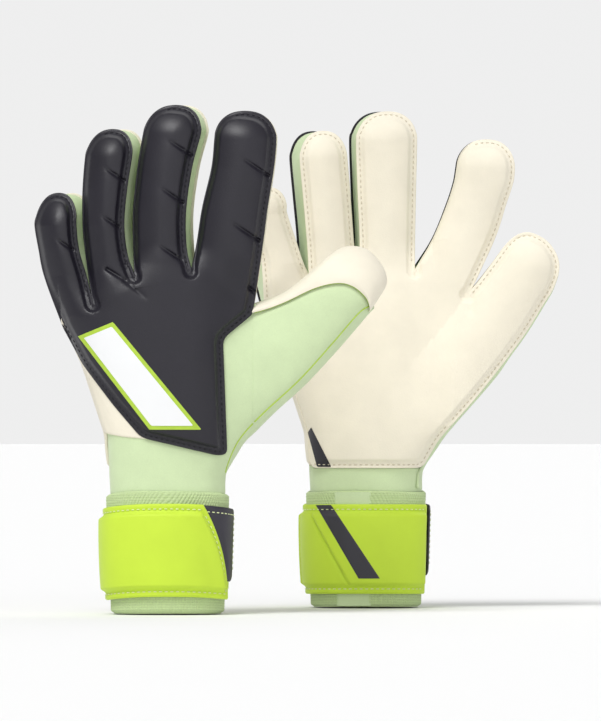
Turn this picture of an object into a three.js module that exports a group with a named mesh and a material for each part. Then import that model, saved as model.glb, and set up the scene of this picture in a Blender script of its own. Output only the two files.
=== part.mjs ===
// A pair of goalkeeper gloves standing on their cuffs, fingers up.
// The left glove shows its back towards -Y, the right glove shows its palm towards -Y.
// Each glove is flat cut: padded back sections and latex palm sections joined by fabric gussets,
// on a fabric hand with a knitted wrist and a wrap-round strap. Millimetres, +Z up.
// The origin is on the ground, in the middle of the pair.

import * as THREE from 'three';

// Clearances
const GAP = 0.3;                    // between pieces that touch
const LAYER_GAP = 1.4;              // between curved layers, whose facets differ
const BACK_HINGE_GAP = 0.6;         // half the slot between hand and digit, back side
const PALM_HINGE_GAP = 5.5;         // half the slot between hand and digit, palm side
const TAB_GAP = 1.6;                // between the pad end and the strap tab

// Layers
const FLANGE = 3;                   // pressed rim of a back or palm section
const PAD = 5;                      // full thickness of a back or palm section
const GUSSET_WALL = 1.8;
const GUSSET_INSET = 2;             // the gusset wall stands inside the flange by this much
const FABRIC = 1.8;
const LINING = 1.2;
const CROWN = 5;                    // how far a section swells above its flange

// Wrist
const KNIT_TOP = 69;
const KNIT_WALL = 2.2;
const BAND_TOP = 80;                // fabric band between the knitted wrist and the palm
const STRAP_BOTTOM = 8;
const STRAP_TOP = 63;
const STRAP_FLANGE = 2;
const STRAP_PAD = 4.4;
const TAB_THICKNESS = 1.6;

// Each row: height, ulnar edge, radial edge, half depth of the hand, from the wrist's centre
const HAND_STATIONS = [
  [0, -32, 32, 23.5],
  [70, -34, 34, 25.5],
  [102, -35.5, 36, 25],
  [125, -43, 40, 24.5],
  [143, -49, 44, 24],
  [170, -61, 47.5, 21.5],
  [200, -64, 50, 18],
];

// The slanted line of the knuckles, from the little finger's side to the index finger's side
const KNUCKLES = {
  left: [[-70, 161], [-42, 172], [-18, 187], [14, 191], [56, 175]],
  right: [[-70, 161], [-33, 176], [-5, 188], [28, 190], [66, 172]],
};
const THUMB_ROOT_X = 49;            // the thumb leaves the hand at this distance from the centre
const THUMB_ROOT_Z = [97, 170];

// Digits: base and tip are x and z of the centre line, width at the base and near the tip,
// depth is the half height of the gusset there, arch moves the digit towards the back,
// yaw turns it about the vertical in degrees, curl brings its tip towards the palm.
const DIGITS = {
  left: {
    pinky: { base: [-54, 167], tip: [-64.5, 240], width: [20, 25], depth: [10, 8.5], arch: -5, yaw: 20, curl: 9 },
    ring: { base: [-30.5, 180], tip: [-32, 277], width: [20.5, 28], depth: [10.5, 9], arch: -1, yaw: 14, curl: 11 },
    middle: { base: [-2, 189], tip: [4, 290.6], width: [26, 32], depth: [11, 9.5], arch: 0, yaw: 8, curl: 12 },
    index: { base: [31, 184], tip: [46.5, 287], width: [35, 35], depth: [11, 9.5], arch: -1, yaw: 0, curl: 10 },
    thumb: { base: [46, 134], tip: [124, 203], width: [54, 36], depth: [12, 8.5], arch: -2, yaw: 0, curl: 12 },
  },
  right: {
    pinky: { base: [-47, 167], tip: [-58, 246], width: [23, 25], depth: [10, 8.5], arch: -5, yaw: 20, curl: 9 },
    ring: { base: [-19, 182], tip: [-27.5, 279], width: [25, 29], depth: [10.5, 9], arch: -1, yaw: 14, curl: 11 },
    middle: { base: [12, 189], tip: [12.5, 290], width: [30, 33], depth: [11, 9.5], arch: 0, yaw: 8, curl: 12 },
    index: { base: [40, 182], tip: [74, 273.5], width: [25, 35], depth: [11, 9.5], arch: -1, yaw: 0, curl: 10 },
    thumb: { base: [49, 123], tip: [104, 217], width: [30, 33], depth: [12, 8.5], arch: -2, yaw: 0, curl: 12 },
  },
};

// Where each glove stands, and which way its back looks along Y
const GLOVES = {
  left: { x: -75.8, y: -80, backward: -1 },
  right: { x: 38.7, y: 80, backward: 1 },
};

const MATERIALS = {
  foam: { color: 0x2c2a36, roughness: 0.6, metalness: 0 },
  latex: { color: 0xece5d4, roughness: 0.75, metalness: 0 },
  fabric: { color: 0xcde1aa, roughness: 0.85, metalness: 0 },
  knit: { color: 0xbed296, roughness: 0.9, metalness: 0 },
  strap: { color: 0xcbe062, roughness: 0.7, metalness: 0 },
  tab: { color: 0x2f2d38, roughness: 0.65, metalness: 0 },
  print: { color: 0xe4e5e6, roughness: 0.5, metalness: 0 },
  piping: { color: 0xc8e83c, roughness: 0.6, metalness: 0 },
  lining: { color: 0xe6e8e2, roughness: 0.9, metalness: 0 },
  hook: { color: 0x1d1d22, roughness: 0.9, metalness: 0 },
};

// ---------------------------------------------------------------- helpers

const mix = (a, b, t) => a + (b - a) * t;
const radians = THREE.MathUtils.degToRad;

function interpolate(table, at, column) {
  const last = table.length - 1;
  let k = 0;
  while (k < last - 1 && at > table[k + 1][0]) {
    k += 1;
  }
  const t = THREE.MathUtils.clamp((at - table[k][0]) / (table[k + 1][0] - table[k][0]), 0, 1);
  return mix(table[k][column], table[k + 1][column], t);
}

function steps(from, to, count) {
  return Array.from({ length: count + 1 }, (_, k) => mix(from, to, k / count));
}

// A closed body between an outer and an inner skin, each sampled on the same grid.
function slab(us, vs, outer, inner) {
  const columns = vs.length;
  const shift = us.length * columns;
  const points = [];
  for (const skin of [outer, inner]) {
    for (const u of us) {
      for (const v of vs) {
        points.push(skin(u, v));
      }
    }
  }
  const faces = [];
  const quad = (a, b, c, d) => faces.push([a, b, c], [a, c, d]);
  for (let i = 0; i + 1 < us.length; i += 1) {
    for (let j = 0; j + 1 < columns; j += 1) {
      const a = i * columns + j;
      const b = a + columns;
      quad(a, b, b + 1, a + 1);
      quad(a + shift, a + 1 + shift, b + 1 + shift, b + shift);
    }
  }
  const wall = (a, b) => quad(a, b, b + shift, a + shift);
  const bottom = (us.length - 1) * columns;
  for (let j = 0; j + 1 < columns; j += 1) {
    wall(j, j + 1);
    wall(bottom + j + 1, bottom + j);
  }
  for (let i = 0; i + 1 < us.length; i += 1) {
    wall((i + 1) * columns, i * columns);
    wall(i * columns + columns - 1, (i + 1) * columns + columns - 1);
  }
  return { points, faces };
}

// A closed band: the outer and inner skins run once round, and rims join them.
function band(count, heights, outer, inner) {
  const points = [];
  const rows = [...heights.map((z) => [outer, z]), ...heights.map((z) => [inner, z]).reverse()];
  for (const [skin, z] of rows) {
    for (let k = 0; k < count; k += 1) {
      points.push(skin((2 * Math.PI * k) / count, z));
    }
  }
  const faces = [];
  for (let row = 0; row < rows.length; row += 1) {
    const next = (row + 1) % rows.length;
    for (let k = 0; k < count; k += 1) {
      const a = row * count + k;
      const b = row * count + ((k + 1) % count);
      const c = next * count + ((k + 1) % count);
      const d = next * count + k;
      faces.push([a, b, c], [a, c, d]);
    }
  }
  return { points, faces };
}

function signedVolume({ points, faces }) {
  let sum = 0;
  for (const [a, b, c] of faces) {
    sum += points[a].dot(new THREE.Vector3().crossVectors(points[b], points[c]));
  }
  return sum / 6;
}

// Turns a glove's own solid (x, towards the back, z) into a mesh that stands in the pair.
function place(glove, name, slot, solid) {
  const points = solid.points.map((p) => new THREE.Vector3(p.x, p.y * glove.backward, p.z));
  const outwards = signedVolume({ points, faces: solid.faces }) > 0;
  const indices = solid.faces.flatMap(([a, b, c]) => (outwards ? [a, b, c] : [a, c, b]));
  const geometry = new THREE.BufferGeometry();
  geometry.setAttribute('position', new THREE.Float32BufferAttribute(points.flatMap((p) => p.toArray()), 3));
  geometry.setIndex(indices);
  geometry.computeVertexNormals();
  const mesh = new THREE.Mesh(geometry, new THREE.MeshStandardMaterial(MATERIALS[slot]));
  mesh.name = name;
  return mesh;
}

// ---------------------------------------------------------------- hand and wrist surface

// A point of the hand's skin: angle 0 is the thumb side, 90 degrees the back of the hand.
function handPoint(angle, z, offset) {
  const ulnar = interpolate(HAND_STATIONS, z, 1) - offset;
  const radial = interpolate(HAND_STATIONS, z, 2) + offset;
  const depth = interpolate(HAND_STATIONS, z, 3) + offset;
  const squareness = 0.82;
  const c = Math.cos(angle);
  const s = Math.sin(angle);
  const x = (ulnar + radial) / 2 + ((radial - ulnar) / 2) * Math.sign(c) * Math.abs(c) ** squareness;
  return new THREE.Vector3(x, depth * Math.sign(s) * Math.abs(s) ** squareness, z);
}

// A panel of the hand's skin between two angles and two edges that vary with x.
function handPanel(fromAngle, toAngle, columns, rows, lower, upper, outerOffset, thickness) {
  const skin = (offset) => (u, v) => {
    const angle = radians(mix(fromAngle, toAngle, v));
    let z = mix(THUMB_ROOT_Z[0], THUMB_ROOT_Z[1], u);
    for (let pass = 0; pass < 6; pass += 1) {
      const x = handPoint(angle, z, offset).x;
      z = mix(lower(x), upper(x), u);
    }
    return handPoint(angle, z, offset);
  };
  return slab(steps(0, 1, rows), columns, skin(outerOffset), skin(outerOffset - thickness));
}

// ---------------------------------------------------------------- digits

// The frame of a digit: its start, its direction, across, and up towards the back.
function digitFrame(digit) {
  const start = new THREE.Vector3(digit.base[0], digit.arch, digit.base[1]);
  const end = new THREE.Vector3(digit.tip[0], digit.arch, digit.tip[1]);
  const along = end.clone().sub(start);
  const length = along.length();
  along.normalize();
  const yaw = radians(digit.yaw);
  const up = new THREE.Vector3(-Math.sin(yaw), Math.cos(yaw), 0);
  up.addScaledVector(along, -up.dot(along)).normalize();
  const across = new THREE.Vector3().crossVectors(up, along).normalize();
  return { start, length, along, up, across };
}

// Moves a point along the digit so that it lies on the line where the digit leaves the hand.
function rootShift(glove, digit, frame, point, clearance) {
  if (digit === glove.digits.thumb) {
    return (THUMB_ROOT_X + clearance - point.x) / frame.along.x;
  }
  return (interpolate(glove.knuckles, point.x, 1) + clearance - point.z) / frame.along.z;
}

// A point of the digit: distance along it, distance across it and height above its middle plane.
function digitPoint(glove, digit, frame, distance, across, height, clearance) {
  const s = distance / frame.length;
  const curl = -digit.curl * s * s;
  const point = frame.start.clone();
  point.addScaledVector(frame.along, distance);
  point.addScaledVector(frame.across, across);
  point.addScaledVector(frame.up, height + curl);
  const rootPoint = frame.start.clone().addScaledVector(frame.across, across);
  const share = Math.max(0, 1 - s / 0.6) ** 2;
  return point.addScaledVector(frame.along, share * rootShift(glove, digit, frame, rootPoint, clearance));
}

const TIP_ROUNDNESS = 0.85;         // length of the round tip over its half width

function halfWidth(digit, s) {
  return mix(digit.width[0], digit.width[1], Math.min(1, s / 0.7)) / 2;
}

// Rows of a digit, from its root to its tip: distance, half width, and how full the pad is.
function digitRows(digit, frame, inset) {
  const tipHalf = digit.width[1] / 2;
  const shoulder = frame.length - tipHalf * TIP_ROUNDNESS;
  const rows = [0, 0.3, 0.65, 1].map((part) => {
    const distance = shoulder * part;
    return { distance, half: halfWidth(digit, distance / frame.length) - inset, fill: 1 };
  });
  for (const [degrees, fill] of [[32, 0.9], [58, 0.55], [76, 0]]) {
    const angle = radians(degrees);
    rows.push({
      distance: shoulder + (tipHalf * TIP_ROUNDNESS - inset) * Math.sin(angle) / Math.sin(radians(76)),
      half: (tipHalf - inset) * Math.cos(angle),
      fill,
    });
  }
  return rows;
}

const gussetHalf = (digit, frame, distance) => mix(digit.depth[0], digit.depth[1], distance / frame.length);

// One padded section of a digit: side is 1 for the back, -1 for the palm.
function digitSection(glove, digit, side) {
  const frame = digitFrame(digit);
  const rows = digitRows(digit, frame, 0);
  const clearance = side > 0 ? BACK_HINGE_GAP : PALM_HINGE_GAP;
  const columns = [-1, -0.8, -0.62, 0, 0.62, 0.8, 1];
  const swell = [0, 0, 0.72, 1, 0.72, 0, 0];
  const skin = (isOuter) => (u, v) => {
    const row = rows[u];
    const flange = gussetHalf(digit, frame, row.distance);
    const full = row.fill * swell[v];
    const thickness = isOuter ? 0 : mix(FLANGE, PAD, full);
    const height = flange + CROWN * full - thickness;
    const across = columns[v] * row.half;
    return digitPoint(glove, digit, frame, row.distance, across, side * height, clearance);
  };
  return slab([...rows.keys()], [...columns.keys()], skin(true), skin(false));
}

// The fabric wall round a digit, up one side, over the tip and down the other side.
function digitGusset(glove, digit) {
  const frame = digitFrame(digit);
  const path = (inset) => {
    const rows = digitRows(digit, frame, inset);
    const up = rows.map((row) => [row.distance, -row.half]);
    const down = rows.map((row) => [row.distance, row.half]).reverse();
    return [...up, ...down];
  };
  const outside = path(GUSSET_INSET);
  const inside = path(GUSSET_INSET + GUSSET_WALL);
  const skin = (route) => (u, v) => {
    const [distance, across] = route[u];
    const half = gussetHalf(digit, frame, distance) - FLANGE - GAP;
    const clearance = v < 0 ? PALM_HINGE_GAP : BACK_HINGE_GAP;
    return digitPoint(glove, digit, frame, distance, across, v * half, clearance);
  };
  return slab([...outside.keys()], [-1, 1], skin(outside), skin(inside));
}

// Lime piping sewn along the thumb's lower edge, on its back.
function thumbPiping(glove) {
  const digit = glove.digits.thumb;
  const frame = digitFrame(digit);
  const lowerSide = 0.55;
  const fullness = 0.8;             // how much of the crown is left that far from the middle
  const halfStrip = 1.4;
  const skin = (height) => (u, v) => {
    const distance = mix(8, frame.length * 0.8, u);
    const across = lowerSide * halfWidth(digit, distance / frame.length) + v * halfStrip;
    const crown = gussetHalf(digit, frame, distance) + CROWN * fullness;
    return digitPoint(glove, digit, frame, distance, across, crown + height, BACK_HINGE_GAP);
  };
  return slab(steps(0, 1, 6), [-1, 1], skin(1.8), skin(2 * GAP));
}

// ---------------------------------------------------------------- hand pieces

// Lower edge of the padded back: a long diagonal, a nearly level bottom and a step to the index.
const BACK_EDGE = [[-66, 172], [-59, 164], [-48, 143], [-14.7, 101], [31, 91], [34, 157], [49, 172]];
const PALM_EDGE_Z = 82;

const backPanelEdge = (x) => interpolate(BACK_EDGE, x, 1);
const knuckleEdge = (glove, clearance) => (x) => interpolate(glove.knuckles, x, 1) - clearance;

function angleForX(x) {
  const [, ulnar, radial] = HAND_STATIONS[5];
  const share = (x - (ulnar + radial) / 2) / ((radial - ulnar) / 2);
  const c = Math.sign(share) * Math.min(1, Math.abs(share)) ** (1 / 0.82);
  return THREE.MathUtils.radToDeg(Math.acos(c));
}

function backhandPanel(glove) {
  const edges = [-59, -48, -32, -14.7, 8, 29, 34, 40, 45.5];
  const angles = edges.map(angleForX);
  const first = angles[0];
  const last = angles[angles.length - 1];
  const columns = angles.map((angle) => (angle - first) / (last - first));
  return handPanel(first, last, columns, 5, backPanelEdge, knuckleEdge(glove, BACK_HINGE_GAP), 0, PAD);
}

// The printed sash that crosses the padded back.
function backSash(glove) {
  const lower = (x) => interpolate([[-50, 150], [0, 108], [12, 104]], x, 1);
  const upper = (x) => Math.min(lower(x) + 26, knuckleEdge(glove, 3)(x));
  return handPanel(angleForX(-46), angleForX(10), steps(0, 1, 6), 2, lower, upper, 1.1, 0.8);
}

function backFabric(glove) {
  const lower = () => BAND_TOP + GAP;
  const upper = knuckleEdge(glove, BACK_HINGE_GAP);
  return handPanel(14, 148, steps(0, 1, 8), 5, lower, upper, -PAD - LAYER_GAP, FABRIC);
}

function palmPanel(glove) {
  const lower = () => PALM_EDGE_Z;
  const upper = knuckleEdge(glove, PALM_HINGE_GAP);
  return handPanel(192, 346, steps(0, 1, 9), 5, lower, upper, 0, PAD);
}

function ulnarWrap(glove) {
  const lower = () => PALM_EDGE_Z;
  const upper = knuckleEdge(glove, PALM_HINGE_GAP);
  return handPanel(165, 191, steps(0, 1, 3), 5, lower, upper, 0, PAD - 1);
}

// The dark patch at the heel of the palm, on the little finger's side.
function palmCornerPatch() {
  const lower = () => PALM_EDGE_Z + 1;
  const upper = (x) => PALM_EDGE_Z + 14 - 0.35 * (x + 34);
  return handPanel(200, 232, steps(0, 1, 4), 1, lower, upper, 1.1, 0.8);
}

function handLining(glove) {
  const skin = (offset) => (angle, z) => handPoint(angle, z, offset);
  const outside = -PAD - FABRIC - 2 * LAYER_GAP;
  const bottom = KNIT_TOP + 2;
  const top = interpolate(glove.knuckles, -70, 1) - 2 * PALM_HINGE_GAP;
  return band(16, steps(bottom, top, 3), skin(outside), skin(outside - LINING));
}

function bodyBand() {
  const skin = (offset) => (angle, z) => handPoint(angle, z, offset);
  return band(20, [KNIT_TOP + GAP, BAND_TOP], skin(-1), skin(-1 - FABRIC));
}

// ---------------------------------------------------------------- wrist pieces

const INSET_ANGLES = [240, 276];    // smooth panel in the knitted wrist, on the palm side

function wristKnit() {
  const from = INSET_ANGLES[1] - 360 + 1;
  const to = INSET_ANGLES[0] - 1;
  const skin = (offset) => (z, angle) => handPoint(radians(angle), z, offset);
  return slab([0, KNIT_TOP], steps(from, to, 20), skin(0), skin(-KNIT_WALL));
}

function wristInset() {
  const skin = (offset) => (z, angle) => handPoint(radians(angle), z, offset);
  return slab([0, KNIT_TOP], steps(INSET_ANGLES[0], INSET_ANGLES[1], 4), skin(0), skin(-KNIT_WALL));
}

// The padded end of the strap is a convex curve on the back of the wrist.
function padEndAngle(z) {
  const share = (z - STRAP_BOTTOM) / (STRAP_TOP - STRAP_BOTTOM);
  return mix(24, 62, share ** 1.6);
}

const ANCHOR_LAYER = [LAYER_GAP, LAYER_GAP + 1.2];
const HOOK_LAYER = [ANCHOR_LAYER[1] + GAP, ANCHOR_LAYER[1] + GAP + 0.9];
const TAB_LAYER = [HOOK_LAYER[1] + GAP, HOOK_LAYER[1] + GAP + TAB_THICKNESS];

function wristStrap() {
  const profile = [[8, 0], [13, 0], [15, 0.85], [36, 1], [56, 0.85], [58, 0], [63, 0]];
  const reach = 344;
  const skin = (isOuter) => (row, v) => {
    const [z, full] = profile[row];
    const angle = radians(mix(padEndAngle(z), reach, v));
    const rise = mix(STRAP_FLANGE, STRAP_PAD, full * (v < 0.01 || v > 0.99 ? 0.2 : 1));
    return handPoint(angle, z, isOuter ? LAYER_GAP + rise : LAYER_GAP);
  };
  const along = [0, 0.03, ...steps(0.1, 0.9, 16), 0.97, 1];
  return slab([...profile.keys()], along, skin(true), skin(false));
}

// Piece under the tab: from beneath the tab's root to the thumb side of the wrist.
function wristLayer(layer, bottom, top, startMargin, endAngle, columns) {
  const skin = (offset) => (z, v) => {
    const start = padEndAngle(z) - startMargin;
    return handPoint(radians(mix(start, endAngle(z), v)), z, offset);
  };
  return slab(steps(bottom, top, 4), steps(0, 1, columns), skin(layer[1]), skin(layer[0]));
}

const tabMargin = THREE.MathUtils.radToDeg(TAB_GAP / 33);
const tabTip = (z) => mix(12, -6, (z - 16) / (STRAP_TOP - 16));

function strapAnchor() {
  return wristLayer(ANCHOR_LAYER, STRAP_BOTTOM + 2, STRAP_TOP - 2, tabMargin, () => -12, 5);
}

function hookPatch() {
  return wristLayer(HOOK_LAYER, 28, STRAP_TOP - 4, tabMargin + 3, (z) => tabTip(z) + 4, 4);
}

function strapTab() {
  return wristLayer(TAB_LAYER, 20, STRAP_TOP - 1, tabMargin, tabTip, 5);
}

// ---------------------------------------------------------------- assembly

const FINGERS = ['pinky', 'ring', 'middle', 'index'];

function buildGlove(side) {
  const glove = { ...GLOVES[side], knuckles: KNUCKLES[side], digits: DIGITS[side] };
  const group = new THREE.Group();
  group.position.set(glove.x, glove.y, 0);
  const add = (name, slot, solid) => group.add(place(glove, `${side}_${name}`, slot, solid));

  for (const name of FINGERS) {
    const digit = glove.digits[name];
    add(`${name}_back`, 'foam', digitSection(glove, digit, 1));
    add(`${name}_palm`, 'latex', digitSection(glove, digit, -1));
    add(`${name}_gusset`, 'fabric', digitGusset(glove, digit));
  }
  add('thumb_back', 'fabric', digitSection(glove, glove.digits.thumb, 1));
  add('thumb_palm', 'latex', digitSection(glove, glove.digits.thumb, -1));
  add('thumb_roll', 'latex', digitGusset(glove, glove.digits.thumb));
  add('thumb_piping', 'piping', thumbPiping(glove));

  add('backhand_panel', 'foam', backhandPanel(glove));
  add('back_sash', 'print', backSash(glove));
  add('back_fabric', 'fabric', backFabric(glove));
  add('palm_panel', 'latex', palmPanel(glove));
  add('ulnar_wrap', 'latex', ulnarWrap(glove));
  add('palm_corner_patch', 'foam', palmCornerPatch());
  add('hand_lining', 'lining', handLining(glove));
  add('body_band', 'fabric', bodyBand());

  add('wrist_knit', 'knit', wristKnit());
  add('wrist_inset', 'fabric', wristInset());
  add('wrist_strap', 'strap', wristStrap());
  add('strap_anchor', 'strap', strapAnchor());
  add('hook_patch', 'hook', hookPatch());
  add('strap_tab', 'tab', strapTab());
  return group;
}

const pair = new THREE.Group();
pair.add(buildGlove('left'));
pair.add(buildGlove('right'));

export default pair;
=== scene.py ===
import math
import bpy
import numpy as np
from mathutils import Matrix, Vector
from mathutils.geometry import delaunay_2d_cdt


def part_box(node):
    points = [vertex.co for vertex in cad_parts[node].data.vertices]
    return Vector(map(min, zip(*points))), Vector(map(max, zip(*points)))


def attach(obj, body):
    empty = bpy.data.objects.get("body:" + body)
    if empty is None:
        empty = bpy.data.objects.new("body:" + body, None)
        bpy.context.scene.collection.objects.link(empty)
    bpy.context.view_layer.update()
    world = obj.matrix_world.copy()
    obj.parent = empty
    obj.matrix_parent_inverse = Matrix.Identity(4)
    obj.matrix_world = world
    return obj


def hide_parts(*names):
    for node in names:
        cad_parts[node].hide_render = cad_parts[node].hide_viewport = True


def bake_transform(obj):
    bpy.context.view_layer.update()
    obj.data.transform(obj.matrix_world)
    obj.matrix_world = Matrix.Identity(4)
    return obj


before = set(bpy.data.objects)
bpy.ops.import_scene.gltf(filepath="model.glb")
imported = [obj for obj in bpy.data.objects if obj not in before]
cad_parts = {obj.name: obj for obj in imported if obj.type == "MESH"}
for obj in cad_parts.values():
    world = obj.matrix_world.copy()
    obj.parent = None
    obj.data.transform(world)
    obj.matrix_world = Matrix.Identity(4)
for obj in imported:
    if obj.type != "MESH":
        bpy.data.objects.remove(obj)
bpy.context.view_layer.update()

# A pair of goalkeeper gloves. Each glove is worked out in its own millimetres: x from the middle of
# the wrist, z up, and "out" measured from the glove's middle plane towards its back or its palm.

MM = 0.001
BACK, PALM = 1, -1
FINGERS = ("pinky", "ring", "middle", "index")

# ------------------------------------------------------------------ the glove's driving dimensions

HAND_Z = (0, 70, 102, 125, 143, 170, 200)
HAND_ULNAR = (-32, -34, -35.5, -43, -49, -61, -64)
HAND_RADIAL = (32, 34, 36, 40, 44, 47.5, 50)
HAND_DEPTH = (23.5, 25.5, 25, 24.5, 24, 21.5, 18)
ROUNDNESS = 2.44                     # superellipse exponent of the hand's cross-section

KNIT_TOP = 69
BAND_TOP = 80
PALM_BOTTOM = 82
PALM_CORNER = (-32, PALM_BOTTOM)     # below the little finger, where the palm's sewn rim begins
STRAP_BOTTOM, STRAP_TOP = 8, 63

# The face that each finger shows: rows of (height, left edge, right edge), then the tip (x, height).
FINGER_ROWS = {
    "left": {
        "pinky": ([(193, -70.4, -46.5), (208, -73.6, -50.8), (222, -76.0, -52.4)], (-62.5, 240.5)),
        "ring": ([(205, -46.6, -22.9), (222, -48.3, -24.9), (242, -48.4, -23.4), (261, -47.0, -20.6)],
                 (-31.5, 277)),
        "middle": ([(209, -19.3, 10.8), (230, -19.5, 10.4), (255, -17.0, 13.8), (274, -13.9, 18.7)],
                   (4.6, 290.8)),
        "index": ([(212, 17.0, 54.4), (232, 20.1, 57.0), (255, 25.4, 60.6), (271, 27.0, 62.0)],
                  (44.3, 287.4)),
    },
    "right": {
        "pinky": ([(202, -61.0, -37.0), (214, -65.2, -41.0), (231, -70.6, -46.6)], (-57.5, 246)),
        "ring": ([(212, -34.2, -7.2), (240, -36.6, -9.3), (262, -38.6, -11.2)], (-25.1, 279)),
        "middle": ([(212, -3.4, 28.4), (245, -4.7, 29.0), (273, -5.6, 29.6)], (12.6, 290.4)),
        "index": ([(216, 39.3, 75.2), (236, 47.6, 81.8), (249, 51.8, 86.0), (257, 53.2, 86.9)], (70.5, 274)),
    },
}
SHOWN_FACE = {"left": BACK, "right": PALM}
# Where each finger's other face lies: turned fingers show their side.
FACE_SHIFT = {"pinky": 7.5, "ring": 6.0, "middle": 4.0, "index": 0.5}
YAW_SLOPE = {"pinky": 0.36, "ring": 0.25, "middle": 0.14, "index": 0.0}
ARCH = {"pinky": -5, "ring": -1, "middle": 0, "index": -1}
CURL = {"pinky": 9, "ring": 11, "middle": 12, "index": 10}
CROTCHES = {
    "left": {BACK: [(-42.4, 177), (-18.6, 193), (13.8, 196)], PALM: [(-35, 186), (-13, 194), (16.5, 196)]},
    "right": {BACK: [(-40, 178), (-10.5, 193), (26, 196)], PALM: [(-33.2, 194), (-5, 197), (28.4, 197)]},
}
# The line of the knuckles: its left end, below the three crotches, and its right end.
KNUCKLES = {
    "left": [(-60.5, 166), (None, 170.5), (None, 186), (None, 190), (49.5, 178)],
    "right": [(-59, 166), (None, 172), (None, 187), (None, 190), (60, 183)],
}
THUMB_AXIS = {"left": ((46, 134), (122.5, 201.5)), "right": ((48, 127), (103.5, 215.5))}
THUMB_HALF_WIDTH = {                 # distances along the thumb, and its half width there
    "left": ((0, 34, 66, 88), (30, 23, 19, 15)),
    "right": ((0, 34, 66, 90), (27, 22, 20, 16)),
}
THUMB_OUTLINE = {                    # from the root's top, round the tip, to the root's bottom
    "left": [(49, 177), (66, 183), (81, 194.3), (94.4, 206), (103.5, 210), (114.5, 208), (122.8, 199),
             (125.4, 190), (122, 182.5), (115.2, 173), (97.3, 152), (78.1, 131.5), (62, 117), (49, 104)],
    "right": [(59, 183), (66, 191), (74, 201.5), (84.5, 215), (94.1, 219.6), (104.7, 215.5), (111.3, 207),
              (112.9, 198), (109.5, 187), (103.9, 178), (94, 162), (84.6, 149), (73, 134), (62.3, 121),
              (49, 106)],
}
THUMB_ROOT_X = 49


class Glove:
    """One glove: where its wrist stands, and which way its back looks along Y."""

    def __init__(self, side, back):
        low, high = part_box(f"{side}_wrist_knit")
        self.side, self.back = side, back
        self.x = (low[0] + high[0]) / 2 / MM
        self.y = (low[1] + high[1]) / 2 / MM
        self.hand = f"{side}_hand"

    def world(self, x, out, z, face):
        """Points in metres from x, height over the middle plane and z."""
        y = self.y + self.back * face * out
        return np.stack([(self.x + x) * MM, y * MM, z * MM], axis=-1)


# ------------------------------------------------------------------ curves in the plane

def smooth(t):
    t = np.clip(t, 0, 1)
    return t * t * (3 - 2 * t)


def lerp(a, b, t):
    return a + (b - a) * t


def spline(points, step=1.3):
    """A Catmull-Rom curve through the points, resampled at an even step."""
    p = np.array(points, float)
    p = np.vstack([2 * p[0] - p[1], p, 2 * p[-1] - p[-2]])
    fine = []
    for k in range(1, len(p) - 2):
        t = np.linspace(0, 1, 24, endpoint=False)[:, None]
        a, b, c, d = p[k - 1], p[k], p[k + 1], p[k + 2]
        square, cube = 2 * a - 5 * b + 4 * c - d, 3 * b - a - 3 * c + d
        fine.append(0.5 * (2 * b + (c - a) * t + square * t**2 + cube * t**3))
    fine.append(p[-2][None])
    return resample(np.vstack(fine), step)


def resample(points, step=None, count=None):
    p = np.array(points, float)
    length = np.concatenate([[0], np.cumsum(np.linalg.norm(np.diff(p, axis=0), axis=1))])
    if count is None:
        count = max(2, int(round(length[-1] / step)) + 1)
    at = np.linspace(0, length[-1], count)
    return np.stack([np.interp(at, length, p[:, k]) for k in range(p.shape[1])], axis=-1)


def rounded(corners, radius, step=1.3):
    """An open outline with straight runs and each inner corner rounded off."""
    p = [np.array(c, float) for c in corners]
    out = [p[0]]
    for before, corner, after in zip(p, p[1:], p[2:]):
        reach = min(radius, 0.45 * np.linalg.norm(before - corner), 0.45 * np.linalg.norm(after - corner))
        a = corner + (before - corner) / np.linalg.norm(before - corner) * reach
        b = corner + (after - corner) / np.linalg.norm(after - corner) * reach
        for t in np.linspace(0, 1, 7):
            out.append((1 - t) ** 2 * a + 2 * t * (1 - t) * corner + t * t * b)
    out.append(p[-1])
    return resample(out, step)


def distance_to(points, lines):
    """Distance of each point to the nearest of the polylines."""
    best = np.full(len(points), 1e9)
    for line in lines:
        a, b = line[:-1], line[1:]
        d = b - a
        size = np.maximum((d * d).sum(1), 1e-12)
        for start in range(0, len(points), 4000):
            p = points[start:start + 4000, None]
            t = np.clip(((p - a) * d).sum(2) / size, 0, 1)
            gap = np.linalg.norm(p - (a + t[..., None] * d), axis=2).min(1)
            best[start:start + 4000] = np.minimum(best[start:start + 4000], gap)
    return best


def inside(points, loop):
    x, z = points[:, 0], points[:, 1]
    result = np.zeros(len(points), bool)
    for (ax, az), (bx, bz) in zip(loop, np.roll(loop, -1, axis=0)):
        if az == bz:
            continue
        crosses = (az > z) != (bz > z)
        result ^= crosses & (x < (bx - ax) * (z - az) / (bz - az) + ax)
    return result


# ------------------------------------------------------------------ the glove's surface

def thumb_side_reach(z):
    """How far the hand's cross-section reaches on the thumb's side, where it swells out to the thumb."""
    web = np.interp(z, (77, 80, 85, 92, 99, 110), (34.4, 35.3, 37.2, 41.2, 46, 56))
    return np.maximum(np.interp(z, HAND_Z, HAND_RADIAL), web)


def hand_out(x, z):
    """Half depth of the hand's rounded cross-section."""
    ulnar = np.interp(z, HAND_Z, HAND_ULNAR)
    middle = (ulnar + np.interp(z, HAND_Z, HAND_RADIAL)) / 2
    half = np.where(x > middle, thumb_side_reach(z) - middle, middle - ulnar)
    c = np.clip(np.abs(x - middle) / half, 0, 1)
    return np.interp(z, HAND_Z, HAND_DEPTH) * (1 - c**ROUNDNESS) ** (1 / ROUNDNESS)


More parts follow.
